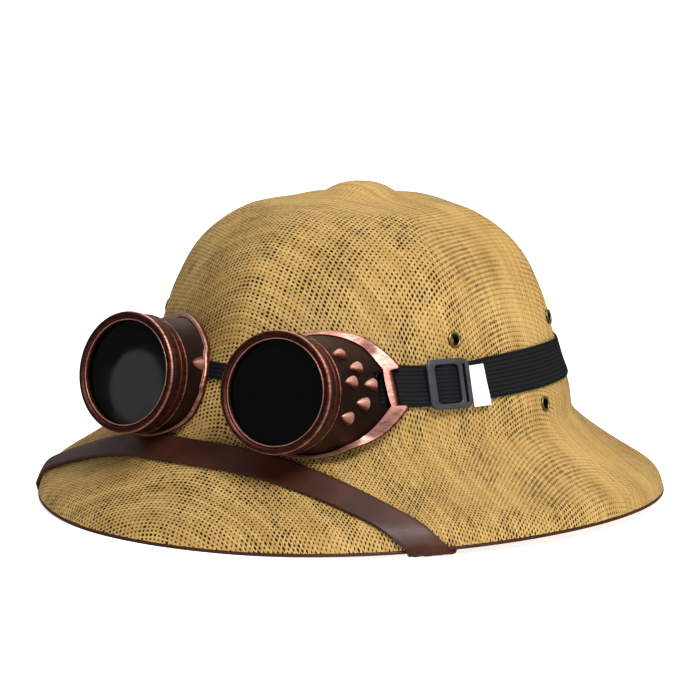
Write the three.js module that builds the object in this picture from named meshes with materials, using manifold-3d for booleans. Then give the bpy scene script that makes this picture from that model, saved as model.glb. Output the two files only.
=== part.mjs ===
import * as THREE from "three";
import { mergeVertices } from "three/addons/utils/BufferGeometryUtils.js";
import Module from "manifold-3d";

// A straw sun helmet with a pair of goggles strapped round its crown and a
// leather chin strap laid over the front of its brim.
// Millimetres, +Z up, the front of the hat towards -Y and the wearer's left
// towards +X. The origin is the middle of the brim, on the surface it rests on.
// Angles round the hat are measured from the front, positive to the wearer's left.

const degree = Math.PI / 180;

// Straw shell: crown
const crownHalfWidth = 99.5;
const crownHalfLength = 112.5;
const crownTopHeight = 146.5;
const crownFootHeight = 48;
const crownFootBackRise = 3;
const buttonHeight = 5.4;
const buttonRadius = 16.5;
const panelCount = 6;
const ridgeHeight = 1.8;
const ridgeSoftness = 0.1;
const strawWall = 2;

// Straw shell: brim
const brimHalfWidth = 144;
const brimHalfLength = 166;
const brimSideRise = 4.8;
const brimFlatAngle = 14 * degree;
const brimTurnDown = 7.5;
const brimFoldWidth = 4;
const brimSag = 0.8;

// Binding sewn under the brim's edge
const bindingWidth = 2.6;
const bindingHeight = 1.4;

// Chin strap
const chinWidth = 16.5;
const chinThickness = 1.6;
const chinTurn = -4 * degree;
const chinFrontDrop = 16;
const chinEdgeAngle = 50 * degree;
const chinBow = 2.1;
const chinTail = 9;

// Eyelets
const eyeletRadius = 3.9;
const eyeletBore = 2.3;
const eyeletBarrel = 2.9;
const eyeletPlate = 0.7;
const eyeletFrontAngle = 63 * degree;
const eyeletFrontHeight = 88.5;
const eyeletRearAngle = 115.6 * degree;
const eyeletRearHeight = 89.6;
const eyeletLowAngle = 98 * degree;
const eyeletLowHeight = 54.5;

// Goggles: where the lens rings stand
const goggleSpacing = 84;
const goggleFront = 133;
const goggleHeight = 71.5;
const goggleYaw = 5.5 * degree;
const goggleTilt = 10.5 * degree;

// Goggles: lens ring, glass and cup
const ringRadius = 28.5;
const ringLength = 8;
const windowRadius = 24.4;
const ringLip = 3.2;
const ringWall = 2.5;
const ringCrest = 1.2;
const ringRound = 0.4;
const ringGroove = 1.4;
const glassThickness = 1.9;
const cupWall = 1.9;
const collarLength = 4.3;
const collarStep = 0.9;
const collarBead = 0.6;
const rimThickness = 2.2;
const rimNarrow = 1.8;
const rimWide = 4.2;
const rimBevel = 0.45;
const rimLip = 1.1;
const mouthShare = 0.7;
const rimClearance = 0.6;
const tipReach = 37.3;
const tipHeight = 18.8;
const tipRise = 8.7;
const tipLean = 16 * degree;
const armBow = 60 * degree;
const hornLength = 3;
const hornHeight = 0.9;
const barWidth = 2.2;
const slotWidth = 4.8;
const barRoom = 0.75;
const foldRoom = 0.45;
const kneeShare = 0.35;
const postRadius = 0.7;
const postOverhang = 1;
const scoopSize = 5.4;
const scoopFlatness = 0.6;

// Elastic strap, slider, label and nose band
const elasticWidth = 18.2;
const elasticThickness = 1;
const elasticHeight = 70;
const labelAngle = 68 * degree;
const labelWidth = 9.2;
const labelThickness = 0.5;
const labelOverhang = 1;
const tailShare = 2.2;
const sliderAngle = 58 * degree;
const sliderWidth = 22.6;
const sliderHeight = 23.6;
const sliderThickness = 1.8;
const sliderRail = 1.9;
const sliderBar = 4;
const sliderSlimBar = 2.2;
const sliderSlimWindow = 1.4;
const sliderPegThickness = 1.1;
const noseBandHeight = 7.5;
const noseBandThickness = 1.1;
const noseBandLevel = 72.3;
const noseBandAim = 5.8;

// Gap between pieces that touch on the real thing, and the extra room over faces
// that aren't quite flat
const gap = 0.3;
const slack = 0.1;

// Stretches over which the rim's room for the nose band and the chin strap fades
const bandFade = 3;
const strapFade = 5;

// Steps of the faceted surfaces
const hatSides = 54;
const ringSides = 28;
const eyeletSides = 8;

// Crown outline as shares: up from the foot to the top, and out to the foot's radius.
const crownProfile = [
  { up: 0.985, out: 0.23 },
  { up: 0.955, out: 0.44 },
  { up: 0.915, out: 0.545 },
  { up: 0.86, out: 0.633 },
  { up: 0.79, out: 0.712 },
  { up: 0.71, out: 0.773 },
  { up: 0.61, out: 0.824 },
  { up: 0.5, out: 0.87 },
  { up: 0.38, out: 0.909 },
  { up: 0.25, out: 0.951 },
  { up: 0.1, out: 0.986 },
  { up: 0, out: 1 },
];

// Shares of the brim's width at which its surface is stepped.
const brimSteps = [0.05, 0.16, 0.34, 0.55, 0.76, 0.9, 0.955, 1];

// Vent scoops on the side of a cup: round the cup from the tip's line, in degrees,
// and the share of the way from the collar to the rim.
const scoops = [
  { turn: 27, along: 0.3 },
  { turn: 5, along: 0.24 },
  { turn: -22, along: 0.3 },
  { turn: 15, along: 0.48 },
  { turn: -9, along: 0.47 },
  { turn: 3, along: 0.66 },
  { turn: 148, along: 0.55 },
];

const wasm = await Module();
wasm.setup();

// Plain helpers

function mix(a, b, t) {
  return a + (b - a) * t;
}

function smoothStep(low, high, value) {
  const t = Math.min(1, Math.max(0, (value - low) / (high - low)));
  return t * t * (3 - 2 * t);
}

function ellipseRadius(theta, halfWidth, halfLength) {
  return 1 / Math.hypot(Math.sin(theta) / halfWidth, Math.cos(theta) / halfLength);
}

function roundHat(theta, r, z) {
  return new THREE.Vector3(r * Math.sin(theta), -r * Math.cos(theta), z);
}

function finishGeometry(positions, indices) {
  let geometry = new THREE.BufferGeometry();
  geometry.setAttribute("position", new THREE.Float32BufferAttribute(positions, 3));
  geometry.setIndex(indices);
  geometry = mergeVertices(geometry, 1e-4);
  if (signedVolume(geometry) < 0) {
    const index = geometry.index.array;
    for (let i = 0; i < index.length; i += 3) {
      [index[i], index[i + 1]] = [index[i + 1], index[i]];
    }
  }
  geometry.computeVertexNormals();
  return geometry;
}

function signedVolume(geometry) {
  const p = geometry.attributes.position;
  const index = geometry.index.array;
  const a = new THREE.Vector3();
  const b = new THREE.Vector3();
  const c = new THREE.Vector3();
  let volume = 0;
  for (let i = 0; i < index.length; i += 3) {
    a.fromBufferAttribute(p, index[i]);
    b.fromBufferAttribute(p, index[i + 1]);
    c.fromBufferAttribute(p, index[i + 2]);
    volume += a.dot(b.cross(c)) / 6;
  }
  return volume;
}

// Joins a row of loops with equal point counts into one closed solid. The last
// loop meets the first, or both ends are closed across as flat strips.
function loftLoops(loops, endless) {
  const count = loops[0].length;
  const positions = loops.flatMap((loop) => loop.flatMap((p) => [p.x, p.y, p.z]));
  const indices = [];
  const joins = endless ? loops.length : loops.length - 1;
  for (let i = 0; i < joins; i++) {
    const next = (i + 1) % loops.length;
    for (let j = 0; j < count; j++) {
      const k = (j + 1) % count;
      const quad = [i * count + j, i * count + k, next * count + k, next * count + j];
      indices.push(quad[0], quad[1], quad[2], quad[0], quad[2], quad[3]);
    }
  }
  if (!endless) {
    closeAcross(indices, 0, count, true);
    closeAcross(indices, (loops.length - 1) * count, count, false);
  }
  return finishGeometry(positions, indices);
}

function closeAcross(indices, start, count, reverse) {
  for (let j = 0; j < count / 2 - 1; j++) {
    const a = start + j;
    const b = start + j + 1;
    const c = start + count - 2 - j;
    const d = start + count - 1 - j;
    const corners = reverse ? [a, c, b, a, d, c] : [a, b, c, a, c, d];
    indices.push(...corners);
  }
}

function toSolid(geometry, matrix = new THREE.Matrix4()) {
  let bare = geometry.clone().applyMatrix4(matrix);
  bare.deleteAttribute("normal");
  bare.deleteAttribute("uv");
  bare = mergeVertices(bare, 1e-4);
  const vertProperties = new Float32Array(bare.attributes.position.array);
  const triVerts = new Uint32Array(bare.index.array);
  return new wasm.Manifold(new wasm.Mesh({ numProp: 3, vertProperties, triVerts }));
}

function fromSolid(solid) {
  const mesh = solid.getMesh();
  return finishGeometry(Array.from(mesh.vertProperties), Array.from(mesh.triVerts));
}

function straw(color) {
  return new THREE.MeshStandardMaterial({ color, roughness: 0.85, metalness: 0 });
}

const materials = {
  straw: straw(0xc09a55),
  leather: new THREE.MeshStandardMaterial({ color: 0x4a2416, roughness: 0.45, metalness: 0 }),
  copper: new THREE.MeshStandardMaterial({ color: 0x7a3c26, roughness: 0.4, metalness: 0.8 }),
  brass: new THREE.MeshStandardMaterial({ color: 0x8d7a4c, roughness: 0.4, metalness: 0.9 }),
  glass: new THREE.MeshStandardMaterial({ color: 0x0b100e, roughness: 0.05, metalness: 0 }),
  elastic: new THREE.MeshStandardMaterial({ color: 0x121416, roughness: 0.8, metalness: 0 }),
  plastic: new THREE.MeshStandardMaterial({ color: 0x26282b, roughness: 0.4, metalness: 0 }),
  label: new THREE.MeshStandardMaterial({ color: 0xf4f4f2, roughness: 0.7, metalness: 0 }),
};

const group = new THREE.Group();

function addPiece(name, geometry, material) {
  const mesh = new THREE.Mesh(geometry, material);
  mesh.name = name;
  group.add(mesh);
  return mesh;
}

// Straw shell

function footHeightAt(theta) {
  return crownFootHeight + crownFootBackRise * (1 - Math.cos(theta)) / 2;
}

// Height of the brim's lowest edge: flat at the front and back, raised at the sides.
function edgeHeightAt(theta) {
  const flat = Math.sin(brimFlatAngle);
  const side = Math.abs(Math.sin(theta));
  return brimSideRise * Math.max(0, (side - flat) / (1 - flat));
}

function footRadiusAt(theta) {
  return ellipseRadius(theta, crownHalfWidth, crownHalfLength);
}

function brimRadiusAt(theta) {
  return ellipseRadius(theta, brimHalfWidth, brimHalfLength);
}

// Swelling of the pressed ridges that part the crown's panels.
function ridgeAt(theta, out) {
  const wave = 1 - Math.hypot(Math.sin((panelCount / 2) * theta), ridgeSoftness);
  const meanWave = 1 - 2 / Math.PI;
  const fade = Math.min(1, 2 * out) * Math.min(1, (1 - out) / (2 * ridgeSoftness));
  return ridgeHeight * fade * (wave - meanWave);
}

function crownRow(theta, row) {
  const foot = footHeightAt(theta);
  const r = footRadiusAt(theta) * row.out + ridgeAt(theta, row.out);
  const button = buttonHeight * Math.exp(-((r / buttonRadius) ** 4));
  return { r, z: mix(foot, crownTopHeight, row.up) + button };
}

// Share of the drop from the crown's foot to the brim's edge at a share of its width.
function brimDropAt(theta, out) {
  const drop = footHeightAt(theta) - edgeHeightAt(theta);
  const width = brimRadiusAt(theta) - footRadiusAt(theta);
  const turn = brimTurnDown / drop;
  const fold = Math.exp((out - 1) * (width / brimFoldWidth) * 2);
  return (1 - turn) * out ** brimSag + turn * fold * out;
}

// The straw ends above the binding.
function strawEdgeAt(theta) {
  return edgeHeightAt(theta) + bindingHeight + gap;
}

function brimRow(theta, out) {
  const foot = footHeightAt(theta);
  const r = mix(footRadiusAt(theta), brimRadiusAt(theta), out);
  return { r, z: mix(foot, strawEdgeAt(theta), brimDropAt(theta, out)) };
}

function normalAt(rows, i) {
  const before = rows[Math.max(0, i - 1)];
  const after = rows[Math.min(rows.length - 1, i + 1)];
  const length = Math.hypot(after.r - before.r, after.z - before.z);
  return { r: -(after.z - before.z) / length, z: (after.r - before.r) / length };
}

// The shell's outer and inner lines at one angle, from the top to the edge.
function shellLines(theta) {
  const outer = crownProfile.map((row) => crownRow(theta, row));
  outer.push(...brimSteps.map((out) => brimRow(theta, out)));
  const inner = outer.map((row, i) => {
    const n = normalAt(outer, i);
    return { r: row.r - strawWall * n.r, z: row.z - strawWall * n.z };
  });
  const edge = outer[outer.length - 1];
  inner[inner.length - 1] = { r: edge.r - strawWall, z: edge.z };
  return { outer, inner };
}

function shellGeometry() {
  const rowCount = crownProfile.length + brimSteps.length;
  const positions = [0, 0, crownTopHeight + buttonHeight];
  positions.push(0, 0, crownTopHeight + buttonHeight - strawWall);
  const indices = [];
  for (let j = 0; j < hatSides; j++) {
    const theta = (j / hatSides) * 2 * Math.PI;
    const { outer, inner } = shellLines(theta);
    for (const row of [...outer, ...inner.reverse()]) {
      positions.push(...roundHat(theta, row.r, row.z).toArray());
    }
  }
  const perSide = 2 * rowCount;
  for (let j = 0; j < hatSides; j++) {
    const a = 2 + j * perSide;
    const b = 2 + ((j + 1) % hatSides) * perSide;
    indices.push(0, a, b, 1, b + perSide - 1, a + perSide - 1);
    for (let i = 0; i < perSide - 1; i++) {
      indices.push(a + i, a + i + 1, b + i + 1, a + i, b + i + 1, b + i);
    }
  }
  return finishGeometry(positions, indices);
}

// Radius and outward normal of the crown's wall at an angle and height.
function crownWallAt(theta, z) {
  const foot = footHeightAt(theta);
  const up = Math.max(0, (z - foot) / (crownTopHeight - foot));
  const low = crownProfile.findIndex((row) => row.up <= up);
  const a = crownProfile[low];
  const b = crownProfile[Math.max(0, low - 1)];
  const share = b.up > a.up ? (up - a.up) / (b.up - a.up) : 0;
  const out = mix(a.out, b.out, share);
  const p = crownRow(theta, a);
  const q = crownRow(theta, b);
  const length = Math.hypot(q.r - p.r, q.z - p.z) || 1;
  const normal = { r: (q.z - p.z) / length, z: -(q.r - p.r) / length };
  return { r: footRadiusAt(theta) * out + ridgeAt(theta, out), normal };
}

function onCrown(theta, z, lift) {
  const wall = crownWallAt(theta, z);
  return roundHat(theta, wall.r + lift * wall.normal.r, z + lift * wall.normal.z);
}

// Axes of a flat piece on the crown: along it, up it and out of it.
function crownAxes(theta, z, reach) {
  const turn = reach / crownHalfWidth;
  const along = onCrown(theta + turn, z, 0).sub(onCrown(theta - turn, z, 0)).normalize();
  const rise = onCrown(theta, z + reach, 0).sub(onCrown(theta, z - reach, 0));
  const out = new THREE.Vector3().crossVectors(along, rise).normalize();
  const up = new THREE.Vector3().crossVectors(out, along);
  return { along, up, out };
}

// How far a point stands off the outside of the shell, near enough for small gaps.
function standOff(point) {
  const theta = Math.atan2(point.x, -point.y);
  const r = Math.hypot(point.x, point.y);
  const wall = crownWallAt(theta, point.z);
  const fromCrown = (r - wall.r) * wall.normal.r;
  const foot = footRadiusAt(theta);
  const out = Math.max(0, (r - foot) / (brimRadiusAt(theta) - foot));
  const here = brimRow(theta, Math.min(1, out));
  const inwards = brimRow(theta, Math.max(0, out - 0.05));
  const run = here.r - inwards.r;
  const slope = run > 0 ? (inwards.z - here.z) / run : 1;
  const fromBrim = (point.z - here.z) / Math.hypot(1, slope);
  return Math.min(fromCrown, fromBrim);
}

// Binding

function bindingGeometry() {
  const loops = [];
  for (let j = 0; j < hatSides; j++) {
    const theta = (j / hatSides) * 2 * Math.PI;
    const outer = brimRadiusAt(theta) + (bindingWidth - strawWall) / 2;
    const low = edgeHeightAt(theta);
    const corners = [
      [outer, low],
      [outer, low + bindingHeight],
      [outer - bindingWidth, low + bindingHeight],
      [outer - bindingWidth, low],
    ];
    loops.push(corners.map(([r, z]) => roundHat(theta, r, z)));
  }
  return loftLoops(loops, true);
}

// Chin strap

// The line that the strap follows at one angle: down the brim's top, round its
// edge, back under the brim and up the inside of the crown.
function wrapLine(theta) {
  const { outer, inner } = shellLines(theta);
  const foot = crownProfile.length - 1;
  const edgeR = brimRadiusAt(theta) + (bindingWidth - strawWall) / 2;
  const low = edgeHeightAt(theta);
  const line = outer.slice(foot, -1);
  line.push({ r: edgeR, z: low + bindingHeight + gap });
  line.push({ r: edgeR, z: low });
  line.push({ r: edgeR - bindingWidth, z: low });
  line.push(...inner.slice(foot - wrapCrownRows, -1).reverse());
  const along = [0];
  for (let i = 1; i < line.length; i++) {
    along.push(along[i - 1] + Math.hypot(line[i].r - line[i - 1].r, line[i].z - line[i - 1].z));
  }
  return { line, along };
}

// Corners of the wrap line, counted from the crown's foot.
const wrapCrownRows = 4;
const wrapFold = brimSteps.length - 3;
const wrapEdge = brimSteps.length + 1;
const wrapUnder = wrapEdge + 4;
const wrapInside = wrapEdge + brimSteps.length + 1;

function offsetCorner(line, i, lift) {
  const sides = [i > 0 ? i : 1, i < line.length - 1 ? i + 1 : i].map((k) => {
    const dr = line[k].r - line[k - 1].r;
    const dz = line[k].z - line[k - 1].z;
    const length = Math.hypot(dr, dz);
    return { r: -dz / length, z: dr / length };
  });
  const dot = sides[0].r * sides[1].r + sides[0].z * sides[1].z;
  const scale = lift / Math.max(0.5, 1 + dot);
  return {
    r: line[i].r + scale * (sides[0].r + sides[1].r),
    z: line[i].z + scale * (sides[0].z + sides[1].z),
  };
}

// Point over the wrap line: step 2.5 lies halfway between its corners 2 and 3.
function wrapPoint(theta, step, lift) {
  const { line } = wrapLine(theta);
  const i = Math.min(line.length - 2, Math.floor(step));
  const a = offsetCorner(line, i, lift);
  const b = offsetCorner(line, i + 1, lift);
  return roundHat(theta, mix(a.r, b.r, step - i), mix(a.z, b.z, step - i));
}

function stepAtDistance(theta, distance) {
  const { along } = wrapLine(theta);
  let i = 1;
  while (i < along.length - 1 && along[i] < distance) {
    i++;
  }
  return i - 1 + (distance - along[i - 1]) / (along[i] - along[i - 1]);
}

// Middle line of the strap on one side, from the front to its eyelet, as angle from
// the strap's own middle and distance along the wrap line.
function chinMiddle(side) {
  const edge = wrapLine(side * chinEdgeAngle + chinTurn).along[wrapEdge];
  const inside = wrapLine(side * eyeletLowAngle).along[wrapInside];
  const end = inside + eyeletLowHeight - footHeightAt(eyeletLowAngle) + chinTail;
  const rate = (chinBow * (edge - chinFrontDrop)) / chinEdgeAngle;
  const points = [];
  const steps = 60;
  for (let i = 0; i <= steps; i++) {
    const angle = (chinEdgeAngle * i) / steps;
    const rise = (edge - chinFrontDrop) * (i / steps) ** chinBow;
    points.push({ angle, distance: chinFrontDrop + rise });
  }
  const turnLeft = eyeletLowAngle - side * chinTurn - chinEdgeAngle;
  const startRate = (end - edge) / rate / turnLeft;
  for (let i = 1; i <= steps; i++) {
    const t = i / steps;
    const eased = startRate * t * (1 - t) ** 2 + t * t * (3 - 2 * t);
    points.push({ angle: chinEdgeAngle + turnLeft * eased, distance: mix(edge, end, t) });
  }
  return points;
}

// Both edges of the strap, half its width to each side of the middle line, as angle
// and step along the wrap line.
function chinEdges(side) {
  const points = chinMiddle(side);
  const edges = [[], []];
  points.forEach((point, i) => {
    const a = points[Math.max(0, i - 1)];
    const b = points[Math.min(points.length - 1, i + 1)];
    const theta = side * point.angle + chinTurn;
    const radius = wrapPoint(theta, stepAtDistance(theta, point.distance), 0).setZ(0).length();
    const run = (b.angle - a.angle) * radius;
    const rise = b.distance - a.distance;
    const offset = chinWidth / 2 / Math.hypot(run, rise);
    [-offset, offset].forEach((reach, k) => {
      const angle = i === 0 ? 0 : point.angle - (reach * rise) / radius;
      const distance = point.distance + reach * run;
      edges[k].push({ angle, step: stepAtDistance(side * angle + chinTurn, distance) });
    });
  });
  return edges;
}

function angleAtStep(edge, step) {
  let i = 1;
  while (i < edge.length - 1 && edge[i].step < step) {
    i++;
  }
  const a = edge[i - 1];
  const b = edge[i];
  return mix(a.angle, b.angle, (step - a.step) / (b.step - a.step));
}

function chinSections(side) {
  const edges = chinEdges(side);
  const rows = [];
  const frontSteps = 10;
  for (let i = side < 0 ? 1 : 0; i < frontSteps; i++) {
    const share = (i / frontSteps) ** chinBow;
    rows.push(edges.map((edge) => mix(edge[0].step, wrapFold, share)));
  }
  for (let step = wrapFold; step <= wrapInside; step++) {
    if (step <= wrapEdge + 1 || step >= wrapUnder) {
      rows.push([step, step]);
    }
  }
  const last = Math.min(...edges.map((edge) => edge[edge.length - 1].step));
  rows.push([mix(wrapInside, last, 0.5), mix(wrapInside, last, 0.5)], [last, last]);
  const inside = gap + slack;
  return rows.map((pair) => {
    const angles = pair.map((step, k) => angleAtStep(edges[k], step));
    const place = (share, lift) => {
      const theta = side * mix(angles[0], angles[1], share) + chinTurn;
      return wrapPoint(theta, mix(pair[0], pair[1], share), lift);
    };
    const across = [0, 1 / 3, 2 / 3, 1];
    const under = across.map((share) => place(share, inside));
    const over = across.map((share) => place(share, inside + chinThickness));
    return [...under, ...over.reverse()];
  });
}

function chinGeometry() {
  return loftLoops([...chinSections(-1).reverse(), ...chinSections(1)], false);
}

// Eyelets

function eyeletGeometry(grip) {
  const outside = gap + eyeletPlate;
  const back = -grip - eyeletPlate;
  const rounded = eyeletPlate / 3;
  const section = [
    [eyeletBore, back + rounded],
    [eyeletBore + rounded, back],
    [eyeletRadius, back],
    [eyeletRadius, -grip],
    [eyeletBarrel, -grip],
    [eyeletBarrel, gap],
    [eyeletRadius, gap],
    [eyeletBore + rounded, outside],
    [eyeletBore, outside - rounded],
    [eyeletBore, back + rounded],
  ].map(([r, y]) => new THREE.Vector2(r, y));
  const lathe = new THREE.LatheGeometry(section, eyeletSides);
  lathe.deleteAttribute("normal");
  lathe.deleteAttribute("uv");
  return finishGeometry(Array.from(lathe.attributes.position.array), Array.from(lathe.index.array));
}

// Matrix that stands a piece made along +Y on the crown, pointing out of it.
function standOnCrown(theta, z) {
  const { along, up, out } = crownAxes(theta, z, eyeletRadius);
  const seat = onCrown(theta, z, 0);
  return new THREE.Matrix4().makeBasis(up, out, along).setPosition(seat);
}

// Goggles

// A goggle's own axes: h points away from the nose, v up and a out of the glass.
function goggleFrame(side) {
  const sinYaw = Math.sin(goggleYaw);
  const cosYaw = Math.cos(goggleYaw);
  const sinTilt = Math.sin(goggleTilt);
  const cosTilt = Math.cos(goggleTilt);
  return {
    centre: new THREE.Vector3((side * goggleSpacing) / 2, -goggleFront, goggleHeight),
    h: new THREE.Vector3(side * cosYaw, sinYaw, 0),
    v: new THREE.Vector3(-side * sinYaw * sinTilt, cosYaw * sinTilt, cosTilt),
    a: new THREE.Vector3(side * sinYaw * cosTilt, -cosYaw * cosTilt, sinTilt),
  };
}

function inGoggle(frame, h, v, depth) {
  return frame.centre.clone()
    .addScaledVector(frame.h, h)
    .addScaledVector(frame.v, v)
    .addScaledVector(frame.a, -depth);
}

// Ends of the tip's bar in a goggle's own plane.
const tipCorners = [-1, 1].map((hand) => ({
  h: tipReach - (hand * Math.tan(tipLean) * tipHeight) / 2,
  v: tipRise + (hand * tipHeight) / 2,
}));

// Reach of an arm of the rim: an arc that leaves the ring's circle smoothly in one
// direction and ends at a corner of the tip.
function armReach(angle, start, corner) {
  const closest = corner.reach * Math.cos(corner.angle - start);
  const back = (corner.reach ** 2 - ringRadius ** 2) / (2 * (ringRadius - closest));
  const along = back * Math.cos(angle - start);
  return Math.sqrt(along ** 2 + 2 * back * ringRadius + ringRadius ** 2) - along;
}

// Directions in which the cup is stepped, and how far its rim reaches in each: a
// circle drawn out in two bowed arms to the ends of the bar.
function rimDirections() {
  const [low, high] = tipCorners.map((c) => ({
    angle: Math.atan2(c.v, c.h),
    reach: Math.hypot(c.h, c.v),
  }));
  const lowStart = low.angle - Math.acos(ringRadius / low.reach) - armBow;
  const highStart = high.angle + Math.acos(ringRadius / high.reach) + armBow;
  const directions = [];
  const barSteps = 3;
  for (let i = 0; i < barSteps; i++) {
    const share = i / barSteps;
    const h = mix(tipCorners[0].h, tipCorners[1].h, share);
    const v = mix(tipCorners[0].v, tipCorners[1].v, share);
    directions.push({ angle: Math.atan2(v, h), reach: Math.hypot(h, v) });
  }
  const armSteps = 9;
  for (let i = 0; i < armSteps; i++) {
    const angle = mix(high.angle, highStart, i / armSteps);
    directions.push({ angle, reach: armReach(angle, highStart, high) });
  }
  const roundSteps = 11;
  for (let i = 0; i < roundSteps; i++) {
    const angle = mix(highStart, lowStart + 2 * Math.PI, i / roundSteps);
    directions.push({ angle, reach: ringRadius });
  }
  for (let i = 0; i < armSteps; i++) {
    const angle = mix(lowStart, low.angle, i / armSteps);
    directions.push({ angle, reach: armReach(angle, lowStart, low) });
  }
  return directions;
}

const tipAngle = Math.atan2(tipRise, tipReach);

function rimWidthAt(angle) {
  const towardsTip = Math.max(0, Math.cos(angle - tipAngle)) ** 2;
  return mix(rimNarrow, rimWide, towardsTip);
}

// Where the bar at the tip ends and starts, away from the nose.
const barOutside = tipReach - hornLength;
const barInside = barOutside - barWidth;

// Layers of the elastic at the tip: the inner one lies on the crown, a post stands
// on it, and the outer one passes back over the post and under the bar.
const elasticInnerLift = gap + elasticThickness / 2 + slack;
const foldRadius = postRadius + foldRoom + elasticThickness / 2;
const postLift = elasticInnerLift + foldRadius;
const elasticOuterLift = elasticInnerLift + elasticThickness + gap;
const barLift = postLift + foldRadius + elasticThickness / 2 + barRoom;
const noseLift = 2 * gap + noseBandThickness + slack;

// Room left between the rim and the straw: for the elastic at the tip, for the band
// at the nose and for the chin strap below.
function rimLiftAt(h, v) {
  const half = ringRadius / 2;
  const tipRoom = (barLift - rimClearance) * smoothStep(half, barInside - slotWidth, h);
  const noseRoom = (noseLift + gap - rimClearance) * smoothStep(half, ringRadius - strapFade, -h);
  const chinRoom = (chinThickness + gap) * smoothStep(half, ringRadius - strapFade, -v);
  const offBand = Math.abs(v - noseBandAim);
  const atBand = 1 - smoothStep(noseBandHeight / 2 + bandFade, 1.5 * noseBandHeight, offBand);
  return rimClearance + tipRoom + noseRoom * atBand + chinRoom;
}

// Depth behind the lens plane at which the rim meets the hat.
function seatDepth(frame, angle, reach) {
  const h = reach * Math.cos(angle);
  const v = reach * Math.sin(angle);
  const lift = rimLiftAt(h, v);
  const off = (depth) => standOff(inGoggle(frame, h, v, depth)) - lift;
  let far = ringLength;
  while (off(far) > 0 && far < 3 * ringRadius) {
    far += 1;
  }
  let near = far - 1;
  for (let i = 0; i < 20; i++) {
    const middle = (near + far) / 2;
    if (off(middle) > 0) {
      near = middle;
    } else {
      far = middle;
    }
  }
  return near;
}

const fitRadius = ringRadius - ringWall - gap;
const glassDepth = ringLip + gap;
const cupFront = glassDepth + glassThickness + gap;
const collarRadius = ringRadius - collarStep;
const collarBack = ringLength + gap + collarLength;
const wallRadius = collarRadius - collarStep;

function cupSections(frame) {
  return rimDirections().map(({ angle, reach }) => {
    const innerEdge = reach - rimWidthAt(angle);
    const mouth = innerEdge - mouthShare * cupWall;
    const rimDepth = seatDepth(frame, angle, reach);
    const edgeDepth = seatDepth(frame, angle, innerEdge);
    const mouthDepth = seatDepth(frame, angle, mouth);
    const section = [
      [windowRadius, cupFront],
      [fitRadius, cupFront],
      [fitRadius, ringLength + gap],
      [collarRadius, ringLength + gap],
      [collarRadius, collarBack - collarBead],
      [wallRadius, collarBack],
      [mix(wallRadius, innerEdge, kneeShare), mix(collarBack, edgeDepth - rimThickness, 0.5)],
      [innerEdge, edgeDepth - rimThickness],
      [innerEdge, edgeDepth - rimThickness - rimLip],
      [reach - rimBevel, rimDepth - rimThickness - rimBevel],
      [reach, rimDepth - rimThickness],
      [reach, rimDepth],
      [mouth, mouthDepth],
      [windowRadius, collarBack + cupWall],
    ];
    return section.map(([r, d]) => inGoggle(frame, r * Math.cos(angle), r * Math.sin(angle), d));
  });
}

// A box across the tip, leaning with its bar, that reaches through rim and wall.
function tipCutter(frame, from, to, height) {
  const box = new THREE.BoxGeometry(to - from, height, 2 * ringRadius);
  box.translate((from + to) / 2 - tipReach, 0, 0);
  box.rotateZ(tipLean);
  box.translate(tipReach, tipRise, -collarBack - ringRadius);
  const position = box.attributes.position;
  for (let i = 0; i < position.count; i++) {
    const [x, y, z] = [position.getX(i), position.getY(i), position.getZ(i)];
    position.setXYZ(i, ...inGoggle(frame, x, y, -z).toArray());
  }
  const index = Array.from(box.index.array);
  return toSolid(finishGeometry(Array.from(position.array), index));
}

// One vent scoop: a hood with its open end towards the rim.
function scoopSolid(frame, scoop) {
  const angle = tipAngle + scoop.turn * degree;
  const nearest = rimDirections().reduce((best, d) => {
    const miss = Math.abs(Math.atan2(Math.sin(d.angle - angle), Math.cos(d.angle - angle)));
    return miss < best.miss ? { miss, reach: d.reach } : best;
  }, { miss: Infinity, reach: 0 });
  const innerEdge = nearest.reach - rimWidthAt(angle);
  const edgeDepth = seatDepth(frame, angle, innerEdge) - rimThickness;
  const knee = { r: mix(wallRadius, innerEdge, kneeShare), d: mix(collarBack, edgeDepth, 0.5) };
  const half = scoop.along * 2;
  const r = half < 1 ? mix(wallRadius, knee.r, half) : mix(knee.r, innerEdge, half - 1);
  const depth = mix(collarBack, edgeDepth, scoop.along);
  const slope = Math.atan2(innerEdge - wallRadius, edgeDepth - collarBack);
  const hood = new THREE.ConeGeometry(scoopSize / 2, scoopSize, 6).scale(1, 1, scoopFlatness);
  const out = frame.h.clone().multiplyScalar(Math.cos(angle)).addScaledVector(frame.v, Math.sin(angle));
  const back = frame.a.clone().negate();
  const run = back.clone().multiplyScalar(Math.cos(slope)).addScaledVector(out, Math.sin(slope));
  const rise = out.clone().multiplyScalar(Math.cos(slope)).addScaledVector(back, -Math.sin(slope));
  const across = new THREE.Vector3().crossVectors(rise, run);
  const basis = new THREE.Matrix4().makeBasis(across, run.clone().negate(), rise);
  const place = inGoggle(frame, r * Math.cos(angle), r * Math.sin(angle), depth);
  return toSolid(hood, basis.setPosition(place));
}

function cupGeometry(side) {
  const frame = goggleFrame(side);
  let cup = toSolid(loftLoops(cupSections(frame), true));
  for (const scoop of scoops) {
    cup = cup.add(scoopSolid(frame, scoop));
  }
  const slot = tipCutter(frame, barInside - slotWidth, barInside, tipHeight - 2 * hornHeight);
  const notch = tipCutter(frame, barOutside, tipReach + slotWidth, tipHeight - 2 * hornHeight);
  return fromSolid(cup.subtract(slot).subtract(notch));
}

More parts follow.
